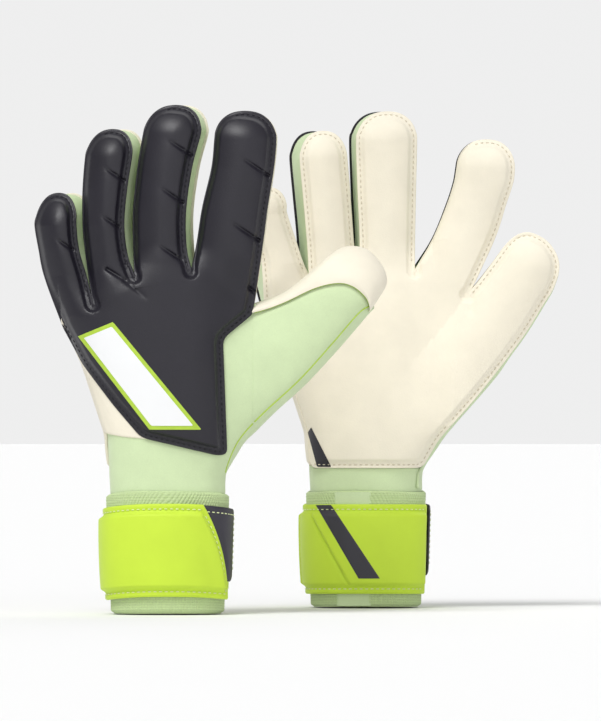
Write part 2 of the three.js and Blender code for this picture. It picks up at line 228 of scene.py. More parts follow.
def thumb_frame(side, x, z):
    (bx, bz), (tx, tz) = THUMB_AXIS[side]
    length = math.hypot(tx - bx, tz - bz)
    ax, az = (tx - bx) / length, (tz - bz) / length
    along = (x - bx) * ax + (z - bz) * az
    across = (x - bx) * az - (z - bz) * ax
    return along, across, length


def thumb_out(side, x, z, face):
    along, across, length = thumb_frame(side, x, z)
    half = np.interp(along, *THUMB_HALF_WIDTH[side])
    tip = np.clip((along - length + 17) / 17, 0, 1)
    round_off = np.clip((across / half) ** 2 + tip**2, 0, 1)
    s = np.clip(along / length, 0, 1)
    return face * (-3 - 9 * s * s) + lerp(14.5, 7.5, s) - 2 * tip**2 + 5.5 * (1 - round_off)


def body_out(side, x, z, face):
    share = smooth((x - 14) / (thumb_side_reach(z) - 17)) * smooth((z - 84) / 26)
    return lerp(hand_out(x, z), thumb_out(side, x, z, face), share)


class Finger:
    """The plan of one finger on one face of one glove."""

    def __init__(self, side, name, face):
        self.side, self.name, self.face = side, name, face
        rows, tip = FINGER_ROWS[side][name]
        shift = 0 if face == SHOWN_FACE[side] else FACE_SHIFT[name] * SHOWN_FACE[side]
        self.z = np.array([row[0] for row in rows], float)
        self.left = np.array([row[1] for row in rows]) + shift
        self.right = np.array([row[2] for row in rows]) + shift
        self.tip = (tip[0] + shift, tip[1])

    def edges(self, z):
        """Middle and half width at height z; above the last row the middle leans to the tip."""
        left, right = np.interp(z, self.z, self.left), np.interp(z, self.z, self.right)
        e = np.clip((z - self.z[-1]) / (self.tip[1] - self.z[-1]), 0, 1)
        middle = (left + right) / 2
        return lerp(middle, self.tip[0], e), (right - left) / 2, e

    def outline(self, left_end, right_end):
        top = self.z[-1]
        middle, half = (self.left[-1] + self.right[-1]) / 2, (self.right[-1] - self.left[-1]) / 2
        arc = []
        for angle in np.radians((18, 36, 54, 72)):
            s, c = math.sin(angle), math.cos(angle) ** 0.86
            arc.append((lerp(middle, self.tip[0], s), half * c, lerp(top, self.tip[1], s)))
        points = [left_end] + [(x, z) for x, z in zip(self.left, self.z)]
        points += [(m - h, z) for m, h, z in arc] + [self.tip] + [(m + h, z) for m, h, z in reversed(arc)]
        points += [(x, z) for x, z in zip(self.right[::-1], self.z[::-1])] + [right_end]
        return spline(points)

    def back_rim(self, knuckle, rim):
        """The sewn rim of a finger's back: full on the thumb's side, nearly turned under on the other."""
        def width(x, z):
            middle, half, _ = self.edges(z)
            side = smooth(((x - middle) / half + 1) / 1.4)
            share = smooth((z - np.interp(x, knuckle[:, 0], knuckle[:, 1])) / 14)
            return rim * lerp(1, 0.25 + 0.75 * side, share)
        return width

    def out(self, x, z, knuckle):
        middle, half, e = self.edges(z)
        base = self.z[0] - 35
        s = np.clip((z - base) / (self.tip[1] - base), 0, 1)
        round_off = np.clip(((x - middle) / half) ** 2 + e**2, 0, 1)
        arch = ARCH[self.name] - CURL[self.name] * s * s + YAW_SLOPE[self.name] * (x - middle)
        finger = self.face * arch + lerp(11.5, 9, s) - 3 * e**2 + 4.8 * (1 - round_off)
        share = smooth((z - np.interp(x, knuckle[:, 0], knuckle[:, 1])) / 27)
        return lerp(body_out(self.side, x, z, self.face), finger, share)


# ------------------------------------------------------------------ materials

def material(name, build):
    m = bpy.data.materials.new(name)
    m.use_nodes = True
    nodes, links = m.node_tree.nodes, m.node_tree.links
    shader = nodes["Principled BSDF"]
    coords = nodes.new("ShaderNodeTexCoord")

    def noise(scale, detail=3, rough=0.55):
        n = nodes.new("ShaderNodeTexNoise")
        n.inputs["Scale"].default_value = scale
        n.inputs["Detail"].default_value = detail
        n.inputs["Roughness"].default_value = rough
        links.new(coords.outputs["Object"], n.inputs["Vector"])
        return n.outputs["Fac"]

    def cells(scale):
        n = nodes.new("ShaderNodeTexVoronoi")
        n.inputs["Scale"].default_value = scale
        links.new(coords.outputs["Object"], n.inputs["Vector"])
        return n.outputs["Distance"]

    def waves(scale, axis, distortion=0.0):
        n = nodes.new("ShaderNodeTexWave")
        n.bands_direction = axis
        n.inputs["Scale"].default_value = scale
        n.inputs["Distortion"].default_value = distortion
        n.inputs["Detail Scale"].default_value = 2
        links.new(coords.outputs["Object"], n.inputs["Vector"])
        return n.outputs["Fac"]

    def maths(kind, a, b):
        n = nodes.new("ShaderNodeMath")
        n.operation = kind
        for socket, value in zip(n.inputs, (a, b)):
            if isinstance(value, (int, float)):
                socket.default_value = value
            else:
                links.new(value, socket)
        return n.outputs[0]

    def ramp(fac, low, high, start=0.3, end=0.7):
        n = nodes.new("ShaderNodeValToRGB")
        n.color_ramp.elements[0].position, n.color_ramp.elements[1].position = start, end
        n.color_ramp.elements[0].color, n.color_ramp.elements[1].color = (*low, 1), (*high, 1)
        links.new(fac, n.inputs["Fac"])
        return n.outputs["Color"]

    def bump(height, depth, strength=1.0):
        n = nodes.new("ShaderNodeBump")
        n.inputs["Distance"].default_value = depth
        n.inputs["Strength"].default_value = strength
        links.new(height, n.inputs["Height"])
        links.new(n.outputs["Normal"], shader.inputs["Normal"])

    def plug(name, value):
        if isinstance(value, (int, float)):
            shader.inputs[name].default_value = value
        else:
            links.new(value, shader.inputs[name])

    build(dict(noise=noise, cells=cells, waves=waves, maths=maths, ramp=ramp, bump=bump, plug=plug))
    return m


def srgb(code):
    values = [int(code[k:k + 2], 16) / 255 for k in (0, 2, 4)]
    return tuple(v / 12.92 if v <= 0.04045 else ((v + 0.055) / 1.055) ** 2.4 for v in values)


def shade(colour, factor):
    return tuple(min(1, c * factor) for c in colour)


def foam_look(t):
    """Dark pressed foam: satin film with a fine leathery grain."""
    base = srgb("1b1922")
    patch = t["noise"](22, 4)
    t["plug"]("Base Color", t["ramp"](patch, shade(base, 0.86), shade(base, 1.16)))
    fine = t["noise"](2600, 2)
    t["plug"]("Roughness", 0.4)
    t["plug"]("Specular IOR Level", 0.42)
    grain = t["maths"]("ADD", t["cells"](1500), t["maths"]("MULTIPLY", fine, 0.6))
    t["bump"](grain, 0.00006, 0.5)


def latex_look(t):
    """Matt foamed latex: fine open pores and a slightly uneven cream."""
    base = srgb("ebe4d2")
    t["plug"]("Base Color", t["ramp"](t["noise"](35, 5), shade(base, 0.93), shade(base, 1.02)))
    t["plug"]("Roughness", 0.78)
    t["plug"]("Specular IOR Level", 0.3)
    t["plug"]("Sheen Weight", 0.08)
    pores = t["maths"]("ADD", t["cells"](1250), t["maths"]("MULTIPLY", t["noise"](700, 3), 0.8))
    t["bump"](pores, 0.00010, 0.5)


def fabric_look(t):
    """Smooth stretch jersey in pale green."""
    base = srgb("c6d7ac")
    weave = t["noise"](1900, 1)
    threads = t["maths"]("MULTIPLY", t["noise"](1300, 2), 0.35)
    patches = t["maths"]("MULTIPLY", t["noise"](60, 4), 0.65)
    mixed = t["maths"]("ADD", threads, patches)
    t["plug"]("Base Color", t["ramp"](mixed, shade(base, 0.92), shade(base, 1.04)))
    t["plug"]("Roughness", 0.85)
    t["plug"]("Sheen Weight", 0.25)
    t["plug"]("Sheen Roughness", 0.5)
    t["plug"]("Specular IOR Level", 0.2)
    t["bump"](t["maths"]("ADD", weave, t["noise"](1500, 2)), 0.00008, 0.6)


def knit_look(t):
    """Ribbed elastic: rows of small knitted loops."""
    base = srgb("bccf9a")
    rows = t["waves"](330, "Z", 1.2)
    loops = t["maths"]("MULTIPLY", t["noise"](900, 3), 0.5)
    mixed = t["maths"]("ADD", t["maths"]("MULTIPLY", rows, 0.5), loops)
    t["plug"]("Base Color", t["ramp"](mixed, shade(base, 0.84), shade(base, 1.07)))
    t["plug"]("Roughness", 0.92)
    t["plug"]("Sheen Weight", 0.3)
    t["plug"]("Specular IOR Level", 0.15)
    t["bump"](mixed, 0.00022, 0.8)


def strap_look(t):
    """Bright coated strap fabric, moulded over its pad."""
    base = srgb("c0dc3a")
    t["plug"]("Base Color", t["ramp"](t["noise"](28, 4), shade(base, 0.95), shade(base, 1.03)))
    t["plug"]("Roughness", 0.58)
    t["plug"]("Specular IOR Level", 0.35)
    t["plug"]("Sheen Weight", 0.1)
    t["bump"](t["maths"]("ADD", t["noise"](1800, 2), t["cells"](1400)), 0.00005, 0.5)


def tab_look(t):
    base = srgb("2d2b36")
    t["plug"]("Base Color", t["ramp"](t["noise"](40, 3), shade(base, 0.9), shade(base, 1.12)))
    t["plug"]("Roughness", 0.5)
    t["bump"](t["cells"](1600), 0.00005, 0.5)


def print_look(t):
    base = srgb("e6e7e8")
    t["plug"]("Base Color", t["ramp"](t["noise"](30, 3), shade(base, 0.97), shade(base, 1.0)))
    t["plug"]("Roughness", 0.45)
    t["bump"](t["noise"](2200, 2), 0.00003, 0.4)


def piping_look(t):
    base = srgb("a9c83a")
    t["plug"]("Base Color", t["ramp"](t["noise"](300, 2), shade(base, 0.93), shade(base, 1.05)))
    t["plug"]("Roughness", 0.55)
    t["bump"](t["noise"](1500, 2), 0.00004, 0.5)


def lining_look(t):
    base = srgb("e4e8dc")
    t["plug"]("Base Color", t["ramp"](t["noise"](120, 3), shade(base, 0.9), shade(base, 1.02)))
    t["plug"]("Roughness", 0.95)
    t["plug"]("Sheen Weight", 0.3)
    t["bump"](t["noise"](900, 3), 0.0002, 0.7)


def hook_look(t):
    base = srgb("1c1c21")
    t["plug"]("Base Color", t["ramp"](t["cells"](900), shade(base, 0.7), shade(base, 1.5)))
    t["plug"]("Roughness", 0.85)
    t["bump"](t["cells"](900), 0.0003, 0.9)


def thread_look(code):
    def build(t):
        base = srgb(code)
        t["plug"]("Base Color", t["ramp"](t["noise"](2500, 2), shade(base, 0.8), shade(base, 1.1)))
        t["plug"]("Roughness", 0.7)
    return build


LOOKS = {
    "foam": foam_look, "latex": latex_look, "fabric": fabric_look, "knit": knit_look, "strap": strap_look,
    "tab": tab_look, "print": print_look, "piping": piping_look, "lining": lining_look, "hook": hook_look,
    "dark_thread": thread_look("14131a"), "cream_thread": thread_look("cfc6b0"),
    "pale_thread": thread_look("e3ecb6"),
}
MATERIALS = {name: material(name, look) for name, look in LOOKS.items()}


# ------------------------------------------------------------------ meshes

def add_piece(name, points, faces, slot, normals=None, top_faces=0):
    """A mesh piece. normals are given for the points of the first top_faces faces."""
    mesh = bpy.data.meshes.new(name)
    mesh.from_pydata([tuple(p) for p in points], [], [tuple(int(k) for k in f) for f in faces])
    mesh.update()
    mesh.polygons.foreach_set("use_smooth", [True] * len(mesh.polygons))
    if normals is not None:
        corner = np.zeros((len(mesh.loops), 3))
        vertex = np.empty(len(mesh.loops), int)
        mesh.loops.foreach_get("vertex_index", vertex)
        last = mesh.polygons[top_faces - 1]
        count = last.loop_start + last.loop_total
        corner[:count] = normals[vertex[:count]]
        mesh.normals_split_custom_set([tuple(n) for n in corner])
    mesh.materials.append(MATERIALS[slot])
    piece = bpy.data.objects.new(name, mesh)
    bpy.context.scene.collection.objects.link(piece)
    return piece


def grid_normals(outer, inner, closed):
    """Unit normals of a grid of points, pointing away from the inner skin."""
    if closed:
        wide = np.concatenate([outer[:, -1:], outer, outer[:, :1]], axis=1)
        across = (wide[:, 2:] - wide[:, :-2]) / 2
    else:
        across = np.gradient(outer, axis=1)
    normals = np.cross(across, np.gradient(outer, axis=0))
    normals /= np.maximum(np.linalg.norm(normals, axis=2), 1e-12)[..., None]
    if (normals * (outer - inner)).sum() < 0:
        normals = -normals
    return normals


def grid_piece(name, outer, inner, slot, closed=False):
    """A skin with thickness from two grids of points; closed joins the last column to the first."""
    rows, columns = outer.shape[:2]
    points = np.concatenate([outer.reshape(-1, 3), inner.reshape(-1, 3)])
    shift = rows * columns
    top, rest = [], []
    span = columns if closed else columns - 1
    for i in range(rows - 1):
        for j in range(span):
            a, b = i * columns + j, i * columns + (j + 1) % columns
            c, d = b + columns, a + columns
            top.append((a, b, c, d))
            rest.append((a + shift, d + shift, c + shift, b + shift))
    for j in range(span):
        a, b = j, (j + 1) % columns
        rest.append((a, a + shift, b + shift, b))
        a, b = (rows - 1) * columns + a, (rows - 1) * columns + b
        rest.append((b, b + shift, a + shift, a))
    if not closed:
        for i in range(rows - 1):
            a, b = i * columns, (i + 1) * columns
            rest.append((b, b + shift, a + shift, a))
            a, b = a + columns - 1, b + columns - 1
            rest.append((a, a + shift, b + shift, b))
    faces = top + rest
    normals = grid_normals(outer, inner, closed)
    i, j = rows // 2, columns // 2
    turn = np.cross(outer[i, j] - outer[i, j - 1], outer[i, j] - outer[i - 1, j])
    if np.dot(turn, normals[i, j]) < 0:
        faces = [f[::-1] for f in faces]
    both = np.concatenate([normals.reshape(-1, 3), normals.reshape(-1, 3)])
    return add_piece(name, points, faces, slot, both, len(top))


RIM_STEPS = (0.7, 1.4, 2.1, 2.8, 3.4, 4.0, 4.7, 5.5, 6.5)
RIM_ZONE = 7.2                       # the points of the sewn rim reach this far in
OFF_EDGE = 0.8


class Surface:
    """One face of one glove: its height with the pad's flange, swell and pressed grooves.

    lines are outlines with a sewn flange, rolled ones are turned in without one, and towards the faded
    ones the pad thins out."""

    def __init__(self, base, lines, rim, rise, rolled=(), faded=(), grooves=(), ramp=2.6, swell=1.3):
        self.base, self.lines, self.rim, self.rise = base, list(lines), rim, rise
        self.rolled, self.faded = list(rolled), list(faded)
        self.grooves, self.ramp, self.swell = list(grooves), ramp, swell

    def edges(self):
        return self.lines + self.rolled

    def out(self, x, z):
        points = np.stack([x, z], axis=-1)
        relief = np.full(len(points), self.rise + self.swell, float)
        if self.lines:
            gap = distance_to(points, self.lines)
            rim = self.rim(x, z) if callable(self.rim) else self.rim
            inner = np.maximum(gap - rim, 0)
            relief = self.rise * smooth(inner / self.ramp) + self.swell * (1 - np.exp(-inner / 7))
            relief -= 0.3 * np.exp(-(((gap - 0.55 * rim) / 0.5) ** 2))
        if self.rolled:
            edge = distance_to(points, self.rolled)
            relief = np.minimum(relief, (self.rise + self.swell) * (1 - np.exp(-edge / 2.0)))
        if self.faded:
            share = smooth(distance_to(points, self.faded) / 11)
            relief = 1.0 * (1 - share) + relief * share
        for a, b, depth, width in self.grooves:
            a, b = np.array(a, float), np.array(b, float)
            along = np.clip(((points - a) * (b - a)).sum(1) / ((b - a) ** 2).sum(), 0, 1)
            d = np.linalg.norm(points - a - along[:, None] * (b - a), axis=1)
            deep = depth * (1 - 0.75 * along**2)
            relief -= deep * np.exp(-((d / width) ** 2)) + 0.35 * deep * np.exp(-((d / (3.2 * width)) ** 2))
        return self.base(x, z) + relief


def tidy_loop(loop):
    keep = [loop[0]]
    for p in loop[1:]:
        if np.linalg.norm(p - keep[-1]) > 0.05:
            keep.append(p)
    if np.linalg.norm(keep[0] - keep[-1]) < 0.05:
        keep.pop()
    return np.array(keep)


def on_rim(points, lines):
    return distance_to(points, lines) < 0.12


def turns_left(loop):
    x, z = loop[:, 0], loop[:, 1]
    return (x * np.roll(z, -1) - np.roll(x, -1) * z).sum() > 0


def square_to(along):
    """Unit vectors to the right of a row of directions."""
    along = along / np.maximum(np.linalg.norm(along, axis=1), 1e-9)[:, None]
    return np.stack([along[:, 1], -along[:, 0]], axis=-1)


def loop_normals(loop):
    """Unit normals that point out of an outline."""
    turn = square_to(np.roll(loop, -1, axis=0) - np.roll(loop, 1, axis=0))
    return turn if turns_left(loop) else -turn


def staggered(low, high, spacing):
    """Rows of points over a box, every second row shifted by half a step."""
    rows = []
    for k, z in enumerate(np.arange(low[1], high[1], spacing * 0.866)):
        x = np.arange(low[0] + (k % 2) * spacing / 2, high[0], spacing)
        rows.append(np.stack([x, np.full(len(x), z)], axis=-1))
    return np.vstack(rows)


def squares(low, high, spacing):
    x, z = np.arange(low[0], high[0], spacing), np.arange(low[1], high[1], spacing)
    return np.stack(np.meshgrid(x, z), -1).reshape(-1, 2)


def along_groove(groove):
    """Nine close rows of points that follow one pressed groove."""
    a, b = np.array(groove[0], float), np.array(groove[1], float)
    d = (b - a) / np.linalg.norm(b - a)
    n = np.array([-d[1], d[0]])
    line = resample([a - d * 1.5, b + d * 1.5], 0.9)
    return np.vstack([line + n * k * groove[3] * 0.7 for k in range(-4, 5)])


def inner_points(loop, closed, rim, surface, spacing):
    """The points inside a panel's outline: close along its sewn rim and grooves, wide elsewhere."""
    borders = surface.edges()
    low, high = loop.min(0), loop.max(0)
    normals = loop_normals(loop)
    found = []
    for step in RIM_STEPS:
        ring = loop[rim] - normals[rim] * step
        ring = ring[inside(ring, loop)]
        if len(ring):
            found.append(ring[np.abs(distance_to(ring, borders) - step) < 0.16])
    clear = RIM_ZONE if rim.any() else OFF_EDGE
    grid = staggered(low, high, spacing)
    grid = grid[inside(grid, loop)]
    grid = grid[distance_to(grid, [closed]) > OFF_EDGE]
    if borders:
        grid = grid[distance_to(grid, borders) > clear]
    for groove in surface.grooves:
        grid = grid[distance_to(grid, [np.array(groove[:2], float)]) >= 3.2]
        found.append(along_groove(groove))
    found.append(grid)
    if borders:
        filling = squares(low, high, 0.95)
        found.append(filling[distance_to(filling, borders) < clear + 0.5])
    points = np.vstack(found)
    points = points[inside(points, loop)]
    points = points[distance_to(points, [closed]) > 0.45]
    return thin_out(points, 0.64)


def fill_outline(loop, points):
    """Triangles over an outline: the points, the faces, and which given point each point is."""
    count = len(loop)
    edges = [(k, (k + 1) % count) for k in range(count)]
    given = [Vector(p) for p in np.vstack([loop, points])]
    found = delaunay_2d_cdt(given, edges, [list(range(count))], 1, 1e-4)
    origin = [o[0] if o else -1 for o in found[3]]
    return np.array([tuple(v) for v in found[0]]), [tuple(f) for f in found[2]], origin


def nearest(points, place):
    return int(np.argmin(np.linalg.norm(points - place, axis=1)))


def top_normals(surface, x, z, sign):
    """Unit normals of a panel's top, from the slope of its surface."""
    step = 0.2
    out = surface.out(x, z)
    slope_x = (surface.out(x + step, z) - out) / step
    slope_z = (surface.out(x, z + step) - out) / step
    normals = np.stack([-slope_x, np.full(len(x), float(sign)), -slope_z], axis=-1)
    return normals / np.linalg.norm(normals, axis=1)[:, None]


def panel(glove, face, name, loop, surface, slot, thickness=2.4, spacing=1.6, lift=0.0):
    """A padded panel over a flat outline: dense top, rolled edge and a plain underside."""
    loop = tidy_loop(loop)
    closed = np.vstack([loop, loop[:1]])
    count = len(loop)
    borders = surface.edges()
    rim = on_rim(loop, borders) if borders else np.zeros(count, bool)

    # the top, and which of its points lie on the outline
    top, triangles, origin = fill_outline(loop, inner_points(loop, closed, rim, surface, spacing))
    on_loop = {o: k for k, o in enumerate(origin) if 0 <= o < count}
    edge_ids = [on_loop[k] if k in on_loop else nearest(top, loop[k]) for k in range(count)]
    out = surface.out(top[:, 0], top[:, 1]) + lift
    sign = glove.back * face
    normals = top_normals(surface, top[:, 0], top[:, 1], sign)
    points = [glove.world(top[:, 0], out, top[:, 1], face)]

    # the side: three rings below the outline, a little swollen where the rim is sewn
    swell = np.where(rim, 0.35, 0.0)[:, None]
    ring_ids = [edge_ids]
    for number, (grow, drop) in enumerate([(1, 0.5), (1, thickness - 0.5), (0, thickness)]):
        ring = loop + loop_normals(loop) * swell * grow
        points.append(glove.world(ring[:, 0], out[edge_ids] - drop, ring[:, 1], face))
        ring_ids.append([len(top) + number * count + k for k in range(count)])
    side_faces = []
    for a, b in zip(ring_ids, ring_ids[1:]):
        for k in range(count):
            n = (k + 1) % count
            side_faces.append((a[n], a[k], b[k], b[n]))
    if not turns_left(loop):
        side_faces = [f[::-1] for f in side_faces]

    # the underside, with a few points of its own
    sparse = squares(loop.min(0), loop.max(0), 6.0)
    sparse = sparse[inside(sparse, loop)]
    sparse = sparse[distance_to(sparse, [closed]) > 3.0] if len(sparse) else sparse
    under, under_faces, origin = fill_outline(loop, sparse)
    deep = len(top) + len(ring_ids[1:]) * count
    under_ids = []
    for k, given in enumerate(origin):
        o = given if given >= 0 else nearest(loop, under[k])
        under_ids.append(ring_ids[-1][o] if o < count else deep + o - count)
    under_faces = [tuple(under_ids[k] for k in reversed(f)) for f in under_faces]
    if len(sparse):
        depth = surface.base(sparse[:, 0], sparse[:, 1]) + lift - thickness - 0.4
        points.append(glove.world(sparse[:, 0], depth, sparse[:, 1], face))

    faces = triangles + side_faces + under_faces
    if sign > 0:
        faces = [f[::-1] for f in faces]
    return add_piece(name, np.vstack(points), faces, slot, normals, len(triangles))


def thin_out(points, gap):
    """Drops points that lie closer than gap to an earlier one."""
    keys, keep = {}, []
    for k, (x, z) in enumerate(points):
        cell = (int(x // gap), int(z // gap))
        around = [(cell[0] + dx, cell[1] + dz) for dx in (-1, 0, 1) for dz in (-1, 0, 1)]
        near = [j for place in around for j in keys.get(place, ())]
        if all((points[j][0] - x) ** 2 + (points[j][1] - z) ** 2 >= gap * gap for j in near):
            keys.setdefault(cell, []).append(k)
            keep.append(k)
    return points[keep]


def at_run(at, run, rows):
    """The row at a distance along a path."""
    return np.array([np.interp(at, run, rows[:, k]) for k in range(3)])


def stitches(name, path, normals, slot, pitch=3.2, length=2.2, radius=0.34):
    """A row of sewn stitches: short threads that lie along a path of 3-D points in metres."""
    path = np.array(path)
    run = np.concatenate([[0], np.cumsum(np.linalg.norm(np.diff(path, axis=0), axis=1))]) / MM
    centres = np.arange(pitch / 2, run[-1] - pitch / 2, pitch)
    points, faces = [], []
    for at in centres:
        ends = [at_run(at + k, run, path) for k in (-length / 2, length / 2)]
        up = at_run(at, run, normals)
        along = ends[1] - ends[0]
        along /= max(np.linalg.norm(along), 1e-9)
        up -= along * np.dot(up, along)
        up /= max(np.linalg.norm(up), 1e-9)
        side = np.cross(along, up)
        start = len(points)
        points.append(ends[0] - up * 0.25 * MM)
        for share in (0.22, 0.5, 0.78):
            centre = ends[0] + (ends[1] - ends[0]) * share + up * MM * (0.05 if share == 0.5 else 0)
            for angle in np.arange(6) * math.pi / 3:
                points.append(centre + (side * math.cos(angle) + up * math.sin(angle)) * radius * MM)
        points.append(ends[1] - up * 0.25 * MM)
        for k in range(6):
            n = (k + 1) % 6
            faces.append((start, start + 1 + n, start + 1 + k))
            for r in (0, 6):
                a = start + 1 + r
                faces.append((a + k, a + n, a + 6 + n, a + 6 + k))
            faces.append((start + 19, start + 13 + k, start + 13 + n))
    return add_piece(name, points, faces, slot)


def rim_stitches(glove, face, name, line, loop, surface, slot, inset=1.7, lift=0.12, pitch=3.2):
    """Stitches along one rim line, set in from the outline."""
    turn = square_to(np.gradient(line, axis=0))
    if inside(line + turn * 0.6, loop).mean() < 0.5:
        turn = -turn
    path = line + turn * inset
    keep = (np.abs(distance_to(path, surface.lines) - inset) < 0.25) & inside(path, loop)
    x, z = path[keep, 0], path[keep, 1]
    points = glove.world(x, surface.out(x, z) + lift, z, face)
    normals = np.tile([0.0, glove.back * face, 0.0], (len(points), 1))
    return stitches(name, points, normals, slot, pitch)


# ------------------------------------------------------------------ plans of the two faces

def knuckle_line(side, face):
    crotches = CROTCHES[side][face]
    line = [list(p) for p in KNUCKLES[side]]
    for k, (x, _) in enumerate(crotches):
        line[k + 1][0] = x
    return np.array(line, float)


def face_plan(side, face):
    """The outlines of the four fingers, their knuckle stretches and their closed loops."""
    line = knuckle_line(side, face)
    crotches = [np.array(c, float) for c in CROTCHES[side][face]]
    stretches = [resample(line[k:k + 2], 0.9) for k in range(4)]
    plan = {"line": line, "stretches": stretches, "fingers": {}, "outlines": {}, "loops": {}}
    for k, name in enumerate(FINGERS):
        finger = Finger(side, name, face)
        left_end = line[0] if k == 0 else crotches[k - 1]
        right_end = line[4] if k == 3 else crotches[k]
        outline = finger.outline(tuple(left_end), tuple(right_end))
        loop = [outline]
        if k < 3:
            loop.append(resample([crotches[k], line[k + 1]], 1.3)[1:])
        loop.append(stretches[k][::-1][1:])
        if k > 0:
            loop.append(resample([line[k], crotches[k - 1]], 1.3)[1:-1])
        plan["fingers"][name] = finger
        plan["outlines"][name] = outline
        plan["loops"][name] = np.vstack(loop)
    return plan


def finger_notches(finger, heights, slope=0.66, reach=0.72, depth=2.0, width=0.95):
    """Pressed diagonal notches that run in and up from the seam along the finger's right edge."""
    notches = []
    for z in heights:
        middle, half, _ = finger.edges(z)
        right = middle + half
        run = reach * half
        a = (right - 3.2, z - slope * 0.5 * run)
        b = (right - 3.2 - run, z + slope * 0.5 * run)
        notches.append((a, b, depth, width))
    return notches


NOTCH_HEIGHTS = {"pinky": (211,), "ring": (251, 224), "middle": (266, 239, 206), "index": (255, 218)}
# The padded back's free edge: down the little finger's side, across the wrist and up to the thumb.
BACK_EDGE = [(-59.3, 163), (-48.3, 142.7), (-31, 120), (-14.7, 101),
             (28.8, 90.8), (34, 91.5), (31.5, 157.2), (48, 171)]


# ------------------------------------------------------------------ building one glove


PADDING = {
    BACK: dict(rim=2.9, rise=2.6, ramp=2.6, swell=1.4),
    PALM: dict(rim=2.8, rise=1.5, ramp=2.2, swell=0.9),
}
FACE_LEVEL = {BACK: 0.5, PALM: 0.0}
FACE_NAME = {BACK: "back", PALM: "palm"}
FACE_SLOT = {BACK: "foam", PALM: "latex"}
FACE_THREAD = {BACK: "dark_thread", PALM: "cream_thread"}


def back_grooves(plan):
    """The fingers' pressed notches and the creases at the roots of the ring and index fingers."""
    grooves = []
    for name, heights in NOTCH_HEIGHTS.items():
        grooves += finger_notches(plan["fingers"][name], heights)
    middle, _, _ = plan["fingers"]["ring"].edges(193)
    grooves += [((middle + 0.5, 197), (middle + 11, 190.5), 2.0, 1.0),
                ((middle + 11, 190.5), (middle + 22, 181), 1.3, 1.4)]
    middle, half, _ = plan["fingers"]["index"].edges(200)
    grooves.append(((middle + half - 7.5, 186.5), (middle + half - 2.2, 181), 1.8, 1.0))
    return grooves


def palm_grooves(plan):
    """The soft fold where the index finger's palm meets the thumb's."""
    root_x, root_z = plan["line"][4]
    return [((root_x + 1, root_z - 9), (root_x + 3.5, root_z + 3), 1.0, 2.4)]


def hand_base(side, face):
    def base(x, z):
        return body_out(side, x, z, face) + FACE_LEVEL[face]
    return base


def finger_base(finger, line):
    def base(x, z):
        return finger.out(x, z, line) + FACE_LEVEL[finger.face]
    return base


def finger_panel(glove, face, name, plan, surface):
    """One finger's pad on one face and its stitches."""
    side, suffix = glove.side, FACE_NAME[face]
    loop = plan["loops"][name]
    piece = panel(glove, face, f"{side}_{name}_{suffix}_pad", loop, surface, FACE_SLOT[face])
    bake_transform(piece)
    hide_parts(f"{side}_{name}_{suffix}")
    sewn_line = plan["outlines"][name][3:-3]
    if face == BACK:
        sewn_line = sewn_line[int(np.argmax(sewn_line[:, 1])) - 5:]
    sewn = rim_stitches(glove, face, f"{side}_{name}_{suffix}_stitches", sewn_line, loop, surface,
                        FACE_THREAD[face])
    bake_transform(sewn)


def backhand(glove, plan, hand_edge, surface):
    """The padded panel over the back of the hand, and its stitches."""
    side = glove.side
    loop = np.vstack([np.vstack(plan["stretches"]), hand_edge[::-1]])
    piece = panel(glove, BACK, f"{side}_backhand_pad", loop, surface, "foam")
    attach(piece, glove.hand)
    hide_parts(f"{side}_backhand_panel")
    sewn = rim_stitches(glove, BACK, f"{side}_backhand_stitches", hand_edge, loop, surface, "dark_thread")
    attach(sewn, glove.hand)


def build_faces(glove):
    """The padded panels of both faces, finger by finger, and the back's own panel."""
    side = glove.side
    plans = {face: face_plan(side, face) for face in (BACK, PALM)}
    surfaces = {BACK: {}, PALM: {}}
    for face, plan in plans.items():
        line = plan["line"]
        if face == BACK:
            hand_edge = resample(np.vstack([line[0], rounded(BACK_EDGE, 4), line[4]]), 1.3)
            lines, rolled, faded = list(plan["outlines"].values()) + [hand_edge], [], []
            grooves = back_grooves(plan)
        else:
            lines, rolled, faded = palm_borders(side, plan)
            grooves = palm_grooves(plan)
        common = dict(PADDING[face], rolled=rolled, faded=faded)
        surfaces[face]["hand"] = Surface(hand_base(side, face), lines, grooves=grooves, **common)
        for name in FINGERS:
            finger = plan["fingers"][name]
            near = [g for g in grooves if near_loop(g, plan["loops"][name])]
            surface = Surface(finger_base(finger, line), lines, grooves=near, **common)
            if face == BACK:
                surface.rim = finger.back_rim(line, surface.rim)
            surfaces[face][name] = surface
            finger_panel(glove, face, name, plan, surface)
        if face == BACK:
            backhand(glove, plan, hand_edge, surfaces[face]["hand"])
    return plans, surfaces


def near_loop(groove, loop):
    points = np.array(groove[:2], float)
    closed = np.vstack([loop, loop[:1]])
    return bool((distance_to(points, [closed]) < 4).any() or inside(points, loop).any())


def palm_edge(side):
    """The palm's free edge: down the little finger's side, along the wrist and up to the thumb."""
    top = knuckle_line(side, PALM)[0]
    ulnar = [(np.interp(z, HAND_Z, HAND_ULNAR) + 1.2, z) for z in (158, 143, 125, 108, 96)]
    low = float(np.interp(PALM_BOTTOM, HAND_Z, HAND_ULNAR)) + 2
    thumb_side = [(33, PALM_BOTTOM), (42, 98), THUMB_OUTLINE[side][-1]]
    return rounded([tuple(top)] + ulnar + [(low, PALM_BOTTOM)] + thumb_side, 4)


